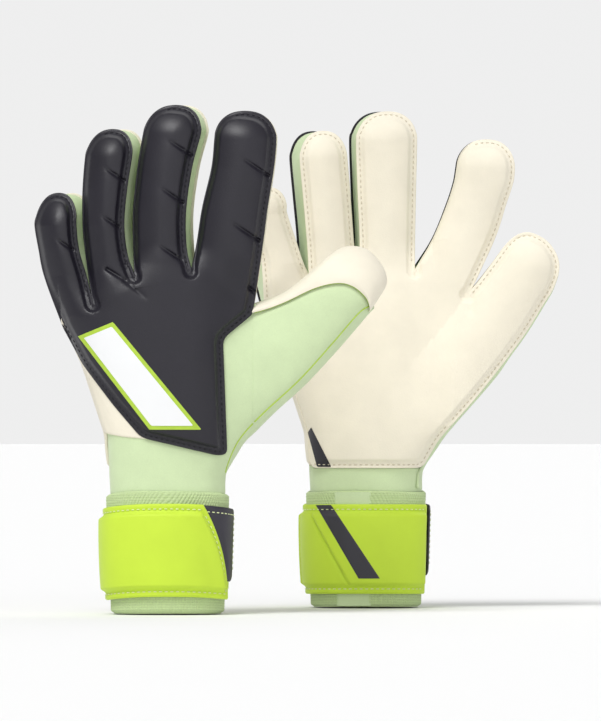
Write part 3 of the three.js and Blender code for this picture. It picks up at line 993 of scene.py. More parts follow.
def palm_borders(side, plan):
    """The palm's sewn flanges, its rolled edges and the side on which it runs on round the hand."""
    edge = palm_edge(side)
    corner = nearest(edge, np.array(PALM_CORNER))
    lines, rolled = [edge[corner:], spline(THUMB_OUTLINE[side])], []
    for name, outline in plan["outlines"].items():
        tip = int(np.argmax(outline[:, 1]))
        if name == "index":
            rolled.append(outline[:tip - 6])
            lines.append(outline[tip - 6:])
        else:
            lines.append(outline)
    return lines, rolled, [edge[:corner + 1]]


def build_palm(glove, plans, surfaces):
    """The hand's palm and the thumb's palm, which meet at the thumb's root."""
    side = glove.side
    plan, surface = plans[PALM], surfaces[PALM]["hand"]
    edge = palm_edge(side)
    thumb = spline(THUMB_OUTLINE[side])
    root_top, root_bottom = np.array(THUMB_OUTLINE[side][0], float), np.array(THUMB_OUTLINE[side][-1], float)
    knuckle_end = plan["line"][4]
    root = resample([root_top, root_bottom], 0.8)
    stretch = np.vstack(plan["stretches"])
    apart = np.linalg.norm(knuckle_end - root_top) > 0.2
    join = resample([knuckle_end, root_top], 1.3) if apart else root[:1]
    loop = np.vstack([stretch, join, root, edge[::-1]])
    piece = panel(glove, PALM, f"{side}_palm_pad", loop, surface, "latex")
    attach(piece, glove.hand)
    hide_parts(f"{side}_palm_panel")
    sewn = rim_stitches(glove, PALM, f"{side}_palm_stitches", edge, loop, surface, "cream_thread")
    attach(sewn, glove.hand)

    loop = np.vstack([thumb, root[::-1]])
    piece = panel(glove, PALM, f"{side}_thumb_palm_pad", loop, surface, "latex")
    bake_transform(piece)
    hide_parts(f"{side}_thumb_palm")
    sewn = rim_stitches(glove, PALM, f"{side}_thumb_palm_stitches", thumb, loop, surface, "cream_thread")
    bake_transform(sewn)


# ------------------------------------------------------------------ tubes, lofts and films

def wrist_lean(z, toward_back):
    """How far the cuff and strap stand higher on the back of the wrist than at its sides."""
    heights = (0, STRAP_BOTTOM, STRAP_TOP, 70, BAND_TOP)
    front = np.clip(toward_back, 0, 1) ** 1.5
    at_back = np.interp(z, heights, (0.4, 2.0, 0.1, 1.0, 0))
    at_sides = np.interp(z, heights, (0, -0.4, -2.9, -1.8, 0))
    at_palm = 0.5 * np.clip(-toward_back, 0, 1) * (z < BAND_TOP)
    return lerp(at_sides + at_palm, at_back, front)


def ring_point(glove, angle, z, offset):
    """A point of the hand's cross-section at an angle from the thumb's side towards the back, in degrees."""
    c, s = np.cos(np.radians(angle)), np.sin(np.radians(angle))
    ulnar, radial = np.interp(z, HAND_Z, HAND_ULNAR), np.interp(z, HAND_Z, HAND_RADIAL)
    depth = np.interp(z, HAND_Z, HAND_DEPTH)
    power = 2 / ROUNDNESS
    z = z + wrist_lean(z, s)
    x = (ulnar + radial) / 2 + ((radial - ulnar) / 2 + offset) * np.sign(c) * np.abs(c) ** power
    return glove.world(x, (depth + offset) * np.sign(s) * np.abs(s) ** power, z, BACK)


def angle_of(x, z, offset, face):
    """The angle at which the cross-section passes x."""
    ulnar, radial = np.interp(z, HAND_Z, HAND_ULNAR), np.interp(z, HAND_Z, HAND_RADIAL)
    c = np.clip((x - (ulnar + radial) / 2) / ((radial - ulnar) / 2 + offset), -1, 1)
    angle = np.degrees(np.arccos(np.sign(c) * np.abs(c) ** (ROUNDNESS / 2)))
    return angle if face == BACK else 360 - angle


def tube(glove, name, angles, heights, offset, wall, slot, closed=False):
    """A band around the hand; offset is a function of the angle and the height."""
    z = np.array(heights, float)[:, None] + np.zeros((1, len(angles)))
    angle = np.array(angles, float)[None] + np.zeros_like(z)
    outer = offset(angle, z)
    inner = np.minimum(outer - 0.6, outer.mean() - wall)
    return grid_piece(name, ring_point(glove, angle, z, outer), ring_point(glove, angle, z, inner), slot,
                      closed)


def evenly(a, b, step):
    return np.linspace(a, b, max(2, int(round(abs(b - a) / step)) + 1))


def outward(points, loop):
    """Unit normals of an open curve that point away from the loop's inside."""
    turn = square_to(np.gradient(points, axis=0))
    return -turn if inside(points + turn * 0.8, loop).mean() > 0.5 else turn


def gusset(glove, name, plans, surfaces):
    """The side wall of a finger, from its back's outline round the tip to its palm's."""
    count = 150
    back = resample(plans[BACK]["outlines"][name], count=count)
    palm = resample(plans[PALM]["outlines"][name], count=count)
    high = surfaces[BACK][name].out(back[:, 0], back[:, 1]) - 1.9
    low = surfaces[PALM][name].out(palm[:, 0], palm[:, 1]) - 1.9
    high = np.maximum(high, 0.6 - low)
    t = np.linspace(0, 1, 11)[:, None]
    loop = plans[BACK]["loops"][name]
    normal = outward(back, loop)
    flat = back[None] * (1 - t[..., None]) + palm[None] * t[..., None]
    height = high[None] * (1 - t) - low[None] * t
    swell = np.sin(math.pi * t) ** 0.7
    run = np.linspace(0, 1, count)
    tuck = np.zeros(count)
    if name == "pinky":
        tuck = 1.8 * (1 - smooth(run / 0.09))
    if name == "index":
        tuck = 1.0 * (1 - smooth((1 - run) / 0.07))
    skins = []
    for inset in (1.1, 2.6):
        place = flat + normal[None] * (1.0 * swell - inset - tuck[None])[..., None]
        skins.append(glove.world(place[..., 0], height, place[..., 1], BACK))
    piece = grid_piece(f"{glove.side}_{name}_side", skins[0], skins[1], "fabric")
    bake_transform(piece)
    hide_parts(f"{glove.side}_{name}_gusset")


# The thumb's green back: its upper edge under the latex roll, and the seam along its lower edge.
THUMB_UPPER = {
    "left": [(47, 171.5), (57, 174.2), (68.3, 178.6), (84.5, 186.2), (97.8, 189), (106.5, 186.8),
             (113.2, 181), (115.5, 176)],
    "right": [(47, 169), (56, 175), (66, 184), (77, 196), (87, 204), (95, 206.5), (101.5, 203), (105, 195)],
}
SEAM = {
    "left": [(32.9, 69), (32.9, 77), (34.2, 85), (41.0, 99.5), (53.9, 113.8), (75.5, 133.8),
             (94.5, 154.8), (109, 171.5), (115.5, 176)],
    "right": [(32.9, 69), (32.9, 77), (34.2, 85), (39.5, 94), (51.6, 111.5), (74, 136), (81, 148),
              (92, 164), (102, 182), (105, 195)],
}
SEAM_OUTSIDE = 2.4                   # how far the thumb's side wall bulges out between its seams


def mint_surface(side):
    """The green fabric lies a little below the padded panels and rolls in at its sewn edges."""
    edges = [spline(THUMB_UPPER[side]), spline(SEAM[side])]
    drop = 1.6

    def base(x, z):
        soft = 0.35 * np.sin(0.13 * x + 0.09 * z + 1.0) * np.sin(0.11 * z - 0.05 * x)
        return body_out(side, x, z, BACK) - 1.2 - drop + soft * smooth((x - 30) / 20)

    return Surface(base, [], rim=0, rise=drop, rolled=edges, swell=0.0)


def back_fabric(glove, surface):
    """The green fabric under the padded back, from the little finger's side round to the thumb's root."""
    side = glove.side
    heights = evenly(KNIT_TOP, 177, 1.7)
    seam = spline(SEAM[side])
    edge = np.minimum(np.interp(heights, seam[:, 1], seam[:, 0]), THUMB_ROOT_X + 1.6)
    rows = []
    for z, right in zip(heights, edge):
        ulnar, radial = np.interp(z, HAND_Z, HAND_ULNAR), np.interp(z, HAND_Z, HAND_RADIAL)
        middle, half = (ulnar + radial) / 2, (radial - ulnar) / 2 - 1.2
        phi = np.radians(np.linspace(lerp(-24, 62, smooth((z - 148) / 16)), 90, 44))
        x = middle - half * np.cos(phi) ** (2 / ROUNDNESS)
        depth = np.interp(z, HAND_Z, HAND_DEPTH) - 1.2
        out = depth * np.sign(phi) * np.abs(np.sin(phi)) ** (2 / ROUNDNESS)
        s = np.sin(np.linspace(0, math.pi / 2, 40)[1:]) ** 0.95
        x_more = middle + (right - middle) * s
        tuck = 0.5 * smooth((x_more - THUMB_ROOT_X + 0.3) / 1.2)
        out_more = surface.out(x_more, np.full_like(x_more, z)) - tuck
        rows.append(np.stack([np.concatenate([x, x_more]), np.concatenate([out, out_more])], axis=-1))
    rows = np.array(rows)
    z = heights[:, None] + np.zeros(rows.shape[:2])
    outer = glove.world(rows[..., 0], rows[..., 1], z, BACK)
    scale = 1 - 1.8 / 30
    inner = glove.world(rows[..., 0] * scale, rows[..., 1] * scale - 0.3 * (rows[..., 1] > 0), z, BACK)
    piece = grid_piece(f"{side}_back_fabric_skin", outer, inner, "fabric")
    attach(piece, glove.hand)
    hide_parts(f"{side}_back_fabric")


def bend_thumb(piece):
    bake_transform(piece)


def thumb_back(glove, mint, upper, seam):
    """The green fabric on the thumb's back, between the latex roll and the seam."""
    side = glove.side
    top = np.array([THUMB_ROOT_X, np.interp(THUMB_ROOT_X, upper[:, 0], upper[:, 1])])
    bottom = np.array([THUMB_ROOT_X, np.interp(THUMB_ROOT_X, seam[:, 0], seam[:, 1])])
    past_root = THUMB_ROOT_X + 0.6
    loop = np.vstack([top, upper[upper[:, 0] > past_root], seam[seam[:, 0] > past_root][::-1],
                      resample([bottom, top], 1.7)[:-1]])
    piece = panel(glove, BACK, f"{side}_thumb_back_skin", loop, mint, "fabric", thickness=1.8)
    bend_thumb(piece)
    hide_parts(f"{side}_thumb_back")


def thumb_roll(glove, surface, mint, upper, outline, turn):
    """The latex that rolls from the thumb's palm over its top and tip."""
    count = 130
    under = resample(outline[:turn + 3], count=count)
    over = resample(upper[upper[:, 0] > 47.5], count=count)
    theta = np.linspace(0, math.pi / 2, 19)[:, None]
    across = 1 - np.cos(theta) ** 0.9
    up = np.sin(theta) ** 0.75
    normal = outward(under, outline)
    flat = under[None] * (1 - across[..., None]) + over[None] * across[..., None]
    bulge = normal[None] * (0.9 * np.sin(2 * theta) ** 0.8)[..., None]
    low = surface.out(under[:, 0], under[:, 1]) - 0.6
    crown = mint.base(flat[..., 0].ravel(), flat[..., 1].ravel()).reshape(flat.shape[:2]) + 3.2
    crown = crown + 2.4 * np.sin(2 * theta) * smooth((under[:, 0] - 60) / 40)[None]
    crown[-1] -= 0.5
    height = -low[None] * (1 - up) + crown * up
    skins = []
    for inset in (0.0, 1.8):
        place = flat + bulge - normal[None] * (inset * (1 - up))[..., None]
        skins.append(glove.world(place[..., 0], height - inset * up, place[..., 1], BACK))
    piece = grid_piece(f"{glove.side}_thumb_roll_skin", skins[0], skins[1], "latex")
    bend_thumb(piece)
    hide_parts(f"{glove.side}_thumb_roll")


def between(line, low_x, high_x):
    return line[(line[:, 0] >= low_x - 0.7) & (line[:, 0] <= high_x + 0.7)]


def side_walls(glove, surface, mint, seam, outline, turn):
    """The fabric between the thumb's back and its palm, below the seam, on the hand and on the thumb."""
    side = glove.side
    edge = palm_edge(side)
    lower = np.vstack([[(31.0, 70.0), (31.3, 79.0)], edge[edge[:, 0] > 33.3][-14:], outline[turn - 2:][::-1]])
    lower = lower[np.argsort(lower[:, 1])]
    t = np.linspace(0, 1, 15)[:, None]
    swell = np.sin(math.pi * t) ** 0.6
    for part, low_x, high_x in (("hand", 0, THUMB_ROOT_X), ("thumb", THUMB_ROOT_X, 200)):
        a = resample(between(seam, low_x, high_x), count=60)
        b = resample(between(lower, low_x, high_x), count=60)
        normal = outward(a, np.vstack([seam, [(0, 200), (0, 60)]]))
        bulge = lerp(0.8, SEAM_OUTSIDE, smooth((a[:, 1] - 74) / 24))[None] * swell
        flat = a[None] * (1 - t[..., None]) + b[None] * t[..., None]
        flat += normal[None] * bulge[..., None]
        high = mint.out(a[:, 0], a[:, 1]) + 0.1
        low = surface.out(b[:, 0], b[:, 1]) - 1.2
        height = high[None] * (1 - t) - low[None] * t
        inner = flat - normal[None] * 1.6
        piece = grid_piece(f"{side}_{part}_side_wall", glove.world(flat[..., 0], height, flat[..., 1], BACK),
                           glove.world(inner[..., 0], height, inner[..., 1], BACK), "fabric")
        if part == "thumb":
            bend_thumb(piece)
        else:
            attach(piece, glove.hand)


def piping(glove, name, line, mint, lift=0.0):
    """Lime piping along a line on the green fabric."""
    line = resample(line, 1.2)
    centre = glove.world(line[:, 0], mint.out(line[:, 0], line[:, 1]) + lift, line[:, 1], BACK)
    return cord(f"{glove.side}_{name}", centre, 0.42, "piping")


def thumb_pieces(glove, surface, mint):
    """The thumb's back, roll, side walls and piping; surface is the palm's."""
    side = glove.side
    upper = spline(THUMB_UPPER[side])
    seam = spline(SEAM[side])
    outline = spline(THUMB_OUTLINE[side])
    turn = nearest(outline, seam[-1])
    thumb_back(glove, mint, upper, seam)
    thumb_roll(glove, surface, mint, upper, outline, turn)
    side_walls(glove, surface, mint, seam, outline, turn)

    in_seam = piping(glove, "thumb_piping_seam", seam[seam[:, 0] >= THUMB_ROOT_X], mint)
    bend_thumb(in_seam)
    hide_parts(f"{side}_thumb_piping")
    under_roll = piping(glove, "thumb_piping_roll", upper[upper[:, 0] >= THUMB_ROOT_X], mint, 0.2)
    bend_thumb(under_roll)
    on_hand = seam[(seam[:, 0] <= THUMB_ROOT_X) & (seam[:, 1] > 80)]
    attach(piping(glove, "hand_piping", on_hand, mint), glove.hand)


def cord(name, centre, radius, slot):
    """A round cord along a path, closed at both ends."""
    along = np.gradient(centre, axis=0)
    along /= np.linalg.norm(along, axis=1)[:, None]
    side = np.cross(along, (0, 1, 0))
    side /= np.linalg.norm(side, axis=1)[:, None]
    up = np.cross(side, along)
    n = 8
    points, faces = [], []
    for c, s, u in zip(centre, side, up):
        for angle in np.arange(n) * 2 * math.pi / n:
            points.append(c + (s * math.cos(angle) + u * math.sin(angle)) * radius * MM)
    for k in range(len(centre) - 1):
        for j in range(n):
            a, b = k * n + j, k * n + (j + 1) % n
            faces.append((a, b, b + n, a + n))
    faces.append(tuple(range(n - 1, -1, -1)))
    faces.append(tuple((len(centre) - 1) * n + j for j in range(n)))
    return add_piece(name, points, faces, slot)


def ulnar_wrap(glove):
    """The latex rolled round the little finger's side, from the palm to under the padded back."""
    side = glove.side
    columns, rows = 46, 60
    back = np.array(BACK_EDGE[:5], float)[::-1]
    s = np.linspace(0, 1, columns)
    low = np.interp(s, (0, 0.10, 0.24, 1), (PALM_BOTTOM + 0.8, 85, 103.5, 99.5))
    t = np.concatenate([[0, 0.004, 0.01, 0.02], np.linspace(0.035, 1, rows)])[:, None]
    z = low[None] + (166.5 - low[None]) * t
    back_x = np.interp(z, back[:, 1], back[:, 0]) + 3
    ulnar = np.interp(z, HAND_Z, HAND_ULNAR)
    palm_angle = 360 - angle_of(ulnar + 2.0, z, 0, BACK)
    back_angle = angle_of(np.minimum(back_x, -8), z, 0, BACK)
    angle = palm_angle * (1 - s) + back_angle * s
    rise = np.interp(t[:, 0], (0, 0.004, 0.01, 0.02, 1), (-0.9, -0.35, 0.0, 0.1, 0.1))[:, None]
    offset = rise + 0.75 * smooth((angle - 176) / 8) - 0.45 * smooth((165 - angle) / 12)
    hidden = 182 + 5 * smooth((z - 156) / 8)
    offset = offset - 2.4 * smooth((z - 140) / 16) * smooth((hidden - angle) / 7)
    offset = offset - 1.3 * smooth((z - 156) / 9)
    outer = ring_point(glove, angle, z, offset)
    inner = ring_point(glove, angle, z, np.minimum(offset - 0.8, -1.0))
    piece = grid_piece(f"{side}_ulnar_wrap_skin", outer, inner, "latex")
    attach(piece, glove.hand)
    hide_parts(f"{side}_ulnar_wrap")


SASH = [(-47.5, 157.5), (-9, 107.5), (15, 107.5), (-31.5, 164)]
CORNER_STRIPE = [(-34.2, 102.5), (-32.2, 105.5), (-20.4, 82.4), (-28.8, 82.4)]


def grown(loop, grow):
    """An outline moved out by the same distance on every side, with sharp corners."""
    middle = loop.mean(0)
    corners = []
    for k in range(len(loop)):
        before, here, after = loop[k - 1], loop[k], loop[(k + 1) % len(loop)]
        sides = []
        for a, b in ((before, here), (here, after)):
            d = (b - a) / np.linalg.norm(b - a)
            n = np.array([d[1], -d[0]])
            n = n if np.dot(n, (a + b) / 2 - middle) > 0 else -n
            sides.append((a + n * grow, d))
        (p, d), (q, e) = sides
        step = np.linalg.solve(np.array([d, -e]).T, q - p)
        corners.append(p + d * step[0])
    return np.array(corners)


def film(glove, face, name, corners, surface, slot, lift, grow=0.0):
    """A flat printed film on a panel."""
    loop = grown(np.array(corners, float), grow)
    loop = resample(np.vstack([loop, loop[:1]]), 1.2)[:-1]
    piece = panel(glove, face, name, loop, surface, slot, thickness=0.3 + lift, spacing=1.3, lift=lift)
    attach(piece, glove.hand)
    return piece


# ------------------------------------------------------------------ wrist

def pad_end(z):
    """The angle at which the strap's padded end stops, a convex curve."""
    share = np.clip((z - STRAP_BOTTOM) / (STRAP_TOP - STRAP_BOTTOM), 0, 1)
    return 24 + (62 - 24) * share**1.6


STRAP_REACH = 344                    # the angle of the strap's plain end
STRAP_BASE = 1.4
ARC = 0.62                           # millimetres along the wrist for each degree round it
GROOVE = ((-34.9, 62), (-10.5, 13))  # the lap line's upper and lower end


def strap_out(angle, z):
    """Height of the strap over the wrist: sewn flanges, the padded field and the palm side's lap line."""
    from_ends = np.minimum((angle - pad_end(z)) * ARC, (STRAP_REACH - angle) * 0.6)
    edge = np.minimum(np.minimum(z - STRAP_BOTTOM, STRAP_TOP - z), from_ends)
    inner = np.maximum(edge - 4.6, 0)
    rise = 2.0 + 2.4 * smooth(inner / 2.4) ** 0.7 + 0.7 * (1 - np.exp(-inner / 8))
    rise -= 0.5 * np.exp(-(((edge - 3.6) / 0.6) ** 2))
    rise -= 0.7 * (1 - smooth(edge / 0.8))
    (top_x, top_z), (low_x, low_z) = GROOVE
    share = np.clip((top_z - z) / (top_z - low_z), 0, 1)
    lap = angle_of(lerp(top_x, low_x, share), z, 5, PALM)
    past = (angle - lap) * 0.6
    near_pad = smooth(inner / 2.4)
    rise -= near_pad * 1.8 * np.exp(-((past / 1.0) ** 2))
    rise -= near_pad * 1.1 * (1 - smooth((past + 2.2) / 2.2)) * (angle > 180)
    return strap_base(angle, z) + rise


def strap_base(angle, z):
    """The strap's underside, which lifts over the tab that is sewn in beneath its padded end."""
    return STRAP_BASE + 2.0 * (1 - smooth(((angle - pad_end(z)) * ARC - 5) / 12))


RING = np.linspace(0, 360, 793)[:-1]


def knit_cuff(glove):
    """The knitted cuff: fine ribs and a rolled lower edge; plain where the strap covers it."""
    def ribs(angle, z):
        rib = np.abs(np.sin(np.radians(angle) * 66))
        rows = np.sin(z * 2 * math.pi / 1.5 + 1.6 * np.sign(np.sin(np.radians(angle) * 66)))
        roll = -2.0 * (1 - smooth(z / 2.2)) ** 1.5
        return 0.1 + 0.3 * rib + 0.07 * rows + roll

    heights = np.concatenate([[0, 0.3, 0.8, 1.4], np.arange(2.0, 13, 0.4), [20, 40, 60.8]])
    piece = tube(glove, f"{glove.side}_knit_cuff", RING, heights, ribs, 2.4, "knit", closed=True)
    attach(piece, glove.hand)
    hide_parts(f"{glove.side}_wrist_knit")


def knit_hem(glove):
    """The thicker hem above the strap, whose upper edge waves a little."""
    heights = np.concatenate([np.arange(60.5, 68.8, 0.4), [69.0, 69.3, 69.6]])[:, None]
    even = heights + np.zeros((1, len(RING)))
    z = heights + 0.35 * np.sin(np.radians(RING) * 3 + 0.5) * (heights > 64)
    angle = RING[None] + np.zeros_like(z)
    wave = np.abs(np.sin(np.radians(angle) * 52 + 0.9 * even))
    loops = np.sin(even * 2 * math.pi / 1.9)
    edge = 1.2 * (1 - smooth((69.6 - even) / 1.0)) + 1.0 * (1 - smooth((even - 60.5) / 1.0))
    outer = ring_point(glove, angle, z, 0.9 + 0.38 * wave + 0.08 * loops - edge)
    inner = ring_point(glove, angle, z, np.full_like(z, -0.8))
    piece = grid_piece(f"{glove.side}_knit_hem", outer, inner, "knit", closed=True)
    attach(piece, glove.hand)


INSET = (242, 273)                   # the angles between which the knit is smooth


def wrist_insets(glove):
    """The smooth elastic inset on the palm's side, which shows below and above the strap."""
    for part, low, high, lift in (("low", 0.6, 12.5, 0.55), ("high", 60.9, 69.2, 1.45)):
        def height(angle, z, lift=lift):
            edge = np.minimum(angle - INSET[0], INSET[1] - angle)
            return lift - 0.5 * (1 - smooth(edge / 2.2))

        piece = tube(glove, f"{glove.side}_wrist_inset_{part}", evenly(*INSET, 0.9), evenly(low, high, 0.7),
                     height, 1.2, "fabric")
        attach(piece, glove.hand)
        if part == "high":
            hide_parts(f"{glove.side}_wrist_inset")


def body_band(glove):
    """The plain fabric between the knit and the hand."""
    def height(angle, z):
        return -1.25 + 0.12 * np.sin(np.radians(angle) * 5 + z * 0.3)

    piece = tube(glove, f"{glove.side}_body_band_skin", np.linspace(0, 360, 241)[:-1],
                 evenly(66.5, 81.5, 1.2), height, 1.6, "fabric", closed=True)
    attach(piece, glove.hand)
    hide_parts(f"{glove.side}_body_band")


def lining(glove):
    """The pocket of lining inside the hand, which flattens towards the fingers."""
    z = evenly(70, 168, 3.5)[:, None] + np.zeros((1, 90))
    angle = np.linspace(0, 360, 91)[:-1][None] + np.zeros_like(z)
    pocket = ring_point(glove, angle, z, -4.0 - 0.2 * np.sin(z * 0.4))
    squeeze = 1 - 0.92 * smooth((z - 130) / 38)
    x, y = glove.x * MM, glove.y * MM
    pocket[..., 1] = y + (pocket[..., 1] - y) * squeeze
    inner = pocket.copy()
    inner[..., 0] = x + (inner[..., 0] - x) * 0.955
    inner[..., 1] = y + (inner[..., 1] - y) * 0.93
    piece = grid_piece(f"{glove.side}_lining_sock", pocket, inner, "lining", closed=True)
    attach(piece, glove.hand)
    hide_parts(f"{glove.side}_hand_lining")


# ------------------------------------------------------------------ strap and tab

def strap_pad(glove):
    """The padded strap itself, with closer rows at its flanges and ends."""
    rows = np.concatenate([[8, 8.3, 8.8], np.arange(9.4, 17, 0.55), np.arange(17.5, 54, 1.4),
                           np.arange(54.3, 61.7, 0.55), [62.2, 62.7, 63]])
    ends = np.array([0, 0.0015, 0.004, 0.007, 0.010, 0.013, 0.016, 0.019, 0.022, 0.025, 0.029, 0.034])
    u = np.concatenate([ends, np.linspace(0.042, 0.958, 250), 1 - ends[::-1]])
    z = rows[:, None] + np.zeros((1, len(u)))
    angle = pad_end(z) + (STRAP_REACH - pad_end(z)) * u[None]
    outer = ring_point(glove, angle, z, strap_out(angle, z))
    inner = ring_point(glove, angle, z, strap_base(angle, z))
    piece = grid_piece(f"{glove.side}_wrist_strap_pad", outer, inner, "strap")
    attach(piece, glove.hand)
    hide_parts(f"{glove.side}_wrist_strap")


def strap_stitches(glove, part, angle, z):
    """A row of stitches on the strap's outer face."""
    path = ring_point(glove, angle, z, strap_out(angle, z) + 0.12)
    normal = ring_point(glove, angle, z, strap_out(angle, z) + 5) - path
    sewn = stitches(f"{glove.side}_strap_{part}_stitches", path, normal, "pale_thread", radius=0.3)
    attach(sewn, glove.hand)


def strap_block(glove):
    """The plain slanted block on the palm's side of the strap."""
    z = evenly(17.5, 62.6, 0.8)
    left = np.interp(z, (17.5, 62.6), (-4.5, -29.5))
    right = np.interp(z, (17.5, 62.6), (8.0, -20.5))
    s = np.linspace(0, 1, 14)
    x = left[:, None] + (right - left)[:, None] * s
    z = z[:, None] + np.zeros_like(x)
    first_guess = angle_of(x, z, 6, PALM)
    angle = angle_of(x, z, strap_out(first_guess, z), PALM)
    lift = 0.22 - 0.1 * (np.abs(s - 0.5) > 0.49)[None]
    outer = ring_point(glove, angle, z, strap_out(angle, z) + lift)
    inner = ring_point(glove, angle, z, strap_out(angle, z) - 0.3)
    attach(grid_piece(f"{glove.side}_strap_block", outer, inner, "tab"), glove.hand)


def anchor_tip(z):
    return np.full_like(z, -13.0)


def tab_tip(z):
    """The angle of the tab's free edge, which bows out and is rounded at its corners."""
    bow = -6.5 + 4.5 * ((z - 42) / 21) ** 2
    return bow + 9 * smooth((z - 57.5) / 5.1) ** 2 + 12 * (1 - smooth((z - 19) / 7)) ** 2


def hook_tip(z):
    return tab_tip(z) + 5


def layer(glove, name, slot, low, thick, heights, margin, tip, body, rounding):
    """One flat layer under or in the tab, from beneath the padded end to its own free edge."""
    z = evenly(heights[0], heights[1], 0.9)[:, None] + np.zeros((1, 40))
    s = np.linspace(0, 1, 40)[None]
    start = pad_end(z) - margin
    end = tip(z)
    angle = start + (end - start) * s
    edge = np.minimum(np.minimum(z - heights[0], heights[1] - z), (angle - end) * ARC)
    under = low[0] + (low[1] - low[0]) * smooth((start - angle) * ARC / 9)
    top = under + thick - 0.4 * (1 - smooth(edge / rounding))
    piece = grid_piece(f"{glove.side}_{name}_layer", ring_point(glove, angle, z, top),
                       ring_point(glove, angle, z, under), slot)
    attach(piece, body)
    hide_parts(f"{glove.side}_{name}")


def tab_stitches(glove, body):
    """The stitches along the tab's upper edge and down its free edge."""
    z = np.concatenate([np.full(30, 58.9), np.linspace(58.9, 25, 44)[1:]])
    start, tip = float(pad_end(58.9)) + 1, tab_tip(z) + 4.4
    angle = np.concatenate([np.linspace(start, tip[29], 30), tip[30:]])
    path = resample(ring_point(glove, angle, z, np.full_like(z, 4.35)), 0.8 * MM)
    normal = path - np.array([glove.x * MM, glove.y * MM, 0])
    normal[:, 2] = 0
    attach(stitches(f"{glove.side}_tab_stitches", path, normal, "pale_thread", radius=0.3), body)


def strap(glove):
    """The wrap-round strap and, on the body that peels, its tab and hook patch."""
    strap_end = f"{glove.side}_strap_end"
    strap_pad(glove)
    for part, z in (("top", 59.9), ("bottom", 11.1)):
        angle = np.linspace(pad_end(z) + 5, 338, 320)
        strap_stitches(glove, part, angle, np.full_like(angle, z))
    z = np.linspace(11.5, 59.5, 60)
    strap_stitches(glove, "end", pad_end(z) + 3.2 / ARC, z)
    strap_block(glove)
    layer(glove, "strap_anchor", "strap", low=(0.9, 0.9), thick=1.0, heights=(8.4, 62.0), margin=-1.0,
          tip=anchor_tip, body=glove.hand, rounding=0.8)
    layer(glove, "hook_patch", "hook", low=(2.0, 2.1), thick=0.7, heights=(26, 58), margin=9.0,
          tip=hook_tip, body=strap_end, rounding=0.3)
    layer(glove, "strap_tab", "tab", low=(2.0, 3.0), thick=1.25, heights=(19, 62.6), margin=-1.5,
          tip=tab_tip, body=strap_end, rounding=0.8)
    tab_stitches(glove, strap_end)


gloves = [Glove("left", -1), Glove("right", 1)]

# ------------------------------------------------------------------ camera

camera_data = bpy.data.cameras.new("camera")
camera = bpy.data.objects.new("camera", camera_data)
bpy.context.scene.collection.objects.link(camera)
CAMERA_DISTANCE = 6.0
VIEW_HEIGHT = 0.4182                 # height of the picture at the gloves
AIM = Vector((0.0003, 0, 0.1447))
camera.location = AIM + Vector((0, -CAMERA_DISTANCE, 0))
camera.rotation_euler = (math.radians(90), 0, 0)
camera_data.sensor_width = 36
camera_data.lens = 36 * CAMERA_DISTANCE / VIEW_HEIGHT
camera_data.clip_end = 60
bpy.context.scene.camera = camera

for glove in gloves:
    plans, surfaces = build_faces(glove)
    build_palm(glove, plans, surfaces)
    for name in FINGERS:
        gusset(glove, name, plans, surfaces)
    mint = mint_surface(glove.side)
    back_fabric(glove, mint)
    thumb_pieces(glove, surfaces[PALM]["hand"], mint)
    ulnar_wrap(glove)
    back, palm = surfaces[BACK]["hand"], surfaces[PALM]["hand"]
    film(glove, BACK, f"{glove.side}_sash_border", SASH, back, "piping", 0.25, grow=2.2)
    sash = film(glove, BACK, f"{glove.side}_sash_face", SASH, back, "print", 0.5)
    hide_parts(f"{glove.side}_back_sash")
    stripe = film(glove, PALM, f"{glove.side}_corner_stripe", CORNER_STRIPE, palm, "foam", 0.25)
    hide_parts(f"{glove.side}_palm_corner_patch")
    knit_cuff(glove)
    knit_hem(glove)
    wrist_insets(glove)
    body_band(glove)
    lining(glove)
    strap(glove)

# ------------------------------------------------------------------ stage

FLOOR_RADIUS = 12                    # metres
FLOOR_HEIGHT = -0.0005
FLOOR_SIDES = 64


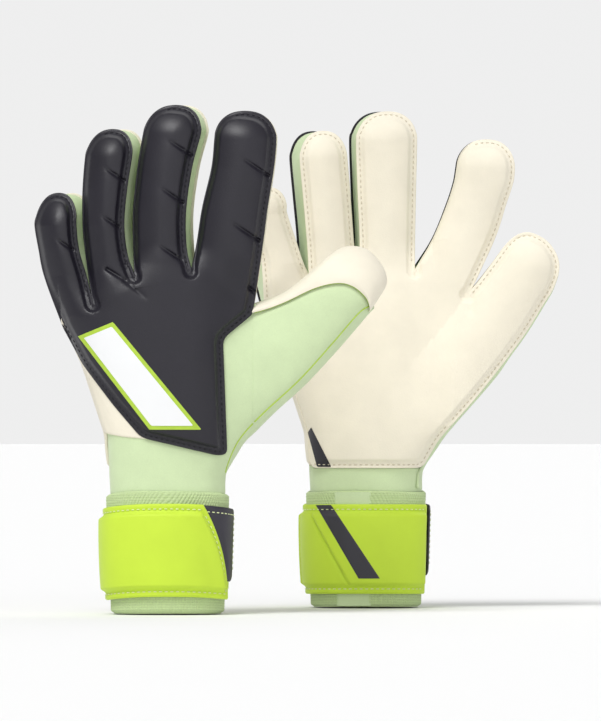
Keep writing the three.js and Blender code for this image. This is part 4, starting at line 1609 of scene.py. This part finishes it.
def build_stage():
    mesh = bpy.data.meshes.new("floor")
    turns = np.linspace(0, 2 * math.pi, FLOOR_SIDES, endpoint=False)
    ring = [(FLOOR_RADIUS * math.cos(a), FLOOR_RADIUS * math.sin(a), FLOOR_HEIGHT) for a in turns]
    mesh.from_pydata(ring, [], [tuple(range(FLOOR_SIDES))])
    floor = bpy.data.objects.new("floor", mesh)
    bpy.context.scene.collection.objects.link(floor)
    look = bpy.data.materials.new("floor_look")
    look.use_nodes = True
    look.node_tree.nodes["Principled BSDF"].inputs["Base Color"].default_value = (0.9, 0.9, 0.9, 1)
    look.node_tree.nodes["Principled BSDF"].inputs["Roughness"].default_value = 0.9
    mesh.materials.append(look)

    world = bpy.data.worlds.new("studio")
    bpy.context.scene.world = world
    world.use_nodes = True
    nodes, links = world.node_tree.nodes, world.node_tree.links
    coords = nodes.new("ShaderNodeTexCoord")
    split = nodes.new("ShaderNodeSeparateXYZ")
    height = nodes.new("ShaderNodeMath")
    height.operation = "ABSOLUTE"
    sky = nodes.new("ShaderNodeValToRGB")
    sky.color_ramp.elements[0].position, sky.color_ramp.elements[1].position = 0.08, 0.22
    sky.color_ramp.elements[0].color = (0.86, 0.86, 0.86, 1)
    sky.color_ramp.elements[1].color = (0.36, 0.36, 0.36, 1)
    links.new(coords.outputs["Generated"], split.inputs["Vector"])
    links.new(split.outputs["Z"], height.inputs[0])
    links.new(height.outputs[0], sky.inputs["Fac"])
    links.new(sky.outputs["Color"], nodes["Background"].inputs["Color"])
    nodes["Background"].inputs["Strength"].default_value = 1.0

    def sun(name, toward, power, spread):
        light = bpy.data.lights.new(name, "SUN")
        light.energy, light.angle = power, math.radians(spread)
        lamp = bpy.data.objects.new(name, light)
        lamp.rotation_euler = (-Vector(toward)).to_track_quat("-Z", "Y").to_euler()
        bpy.context.scene.collection.objects.link(lamp)

    sun("key_light", (-0.32, -0.55, 0.95), 2.1, 28)
    sun("fill_light", (0.2, -0.9, 0.3), 0.8, 75)
    sun("back_light", (0.3, 0.9, 0.8), 0.5, 50)


build_stage()
bpy.context.scene.view_settings.view_transform = "Standard"
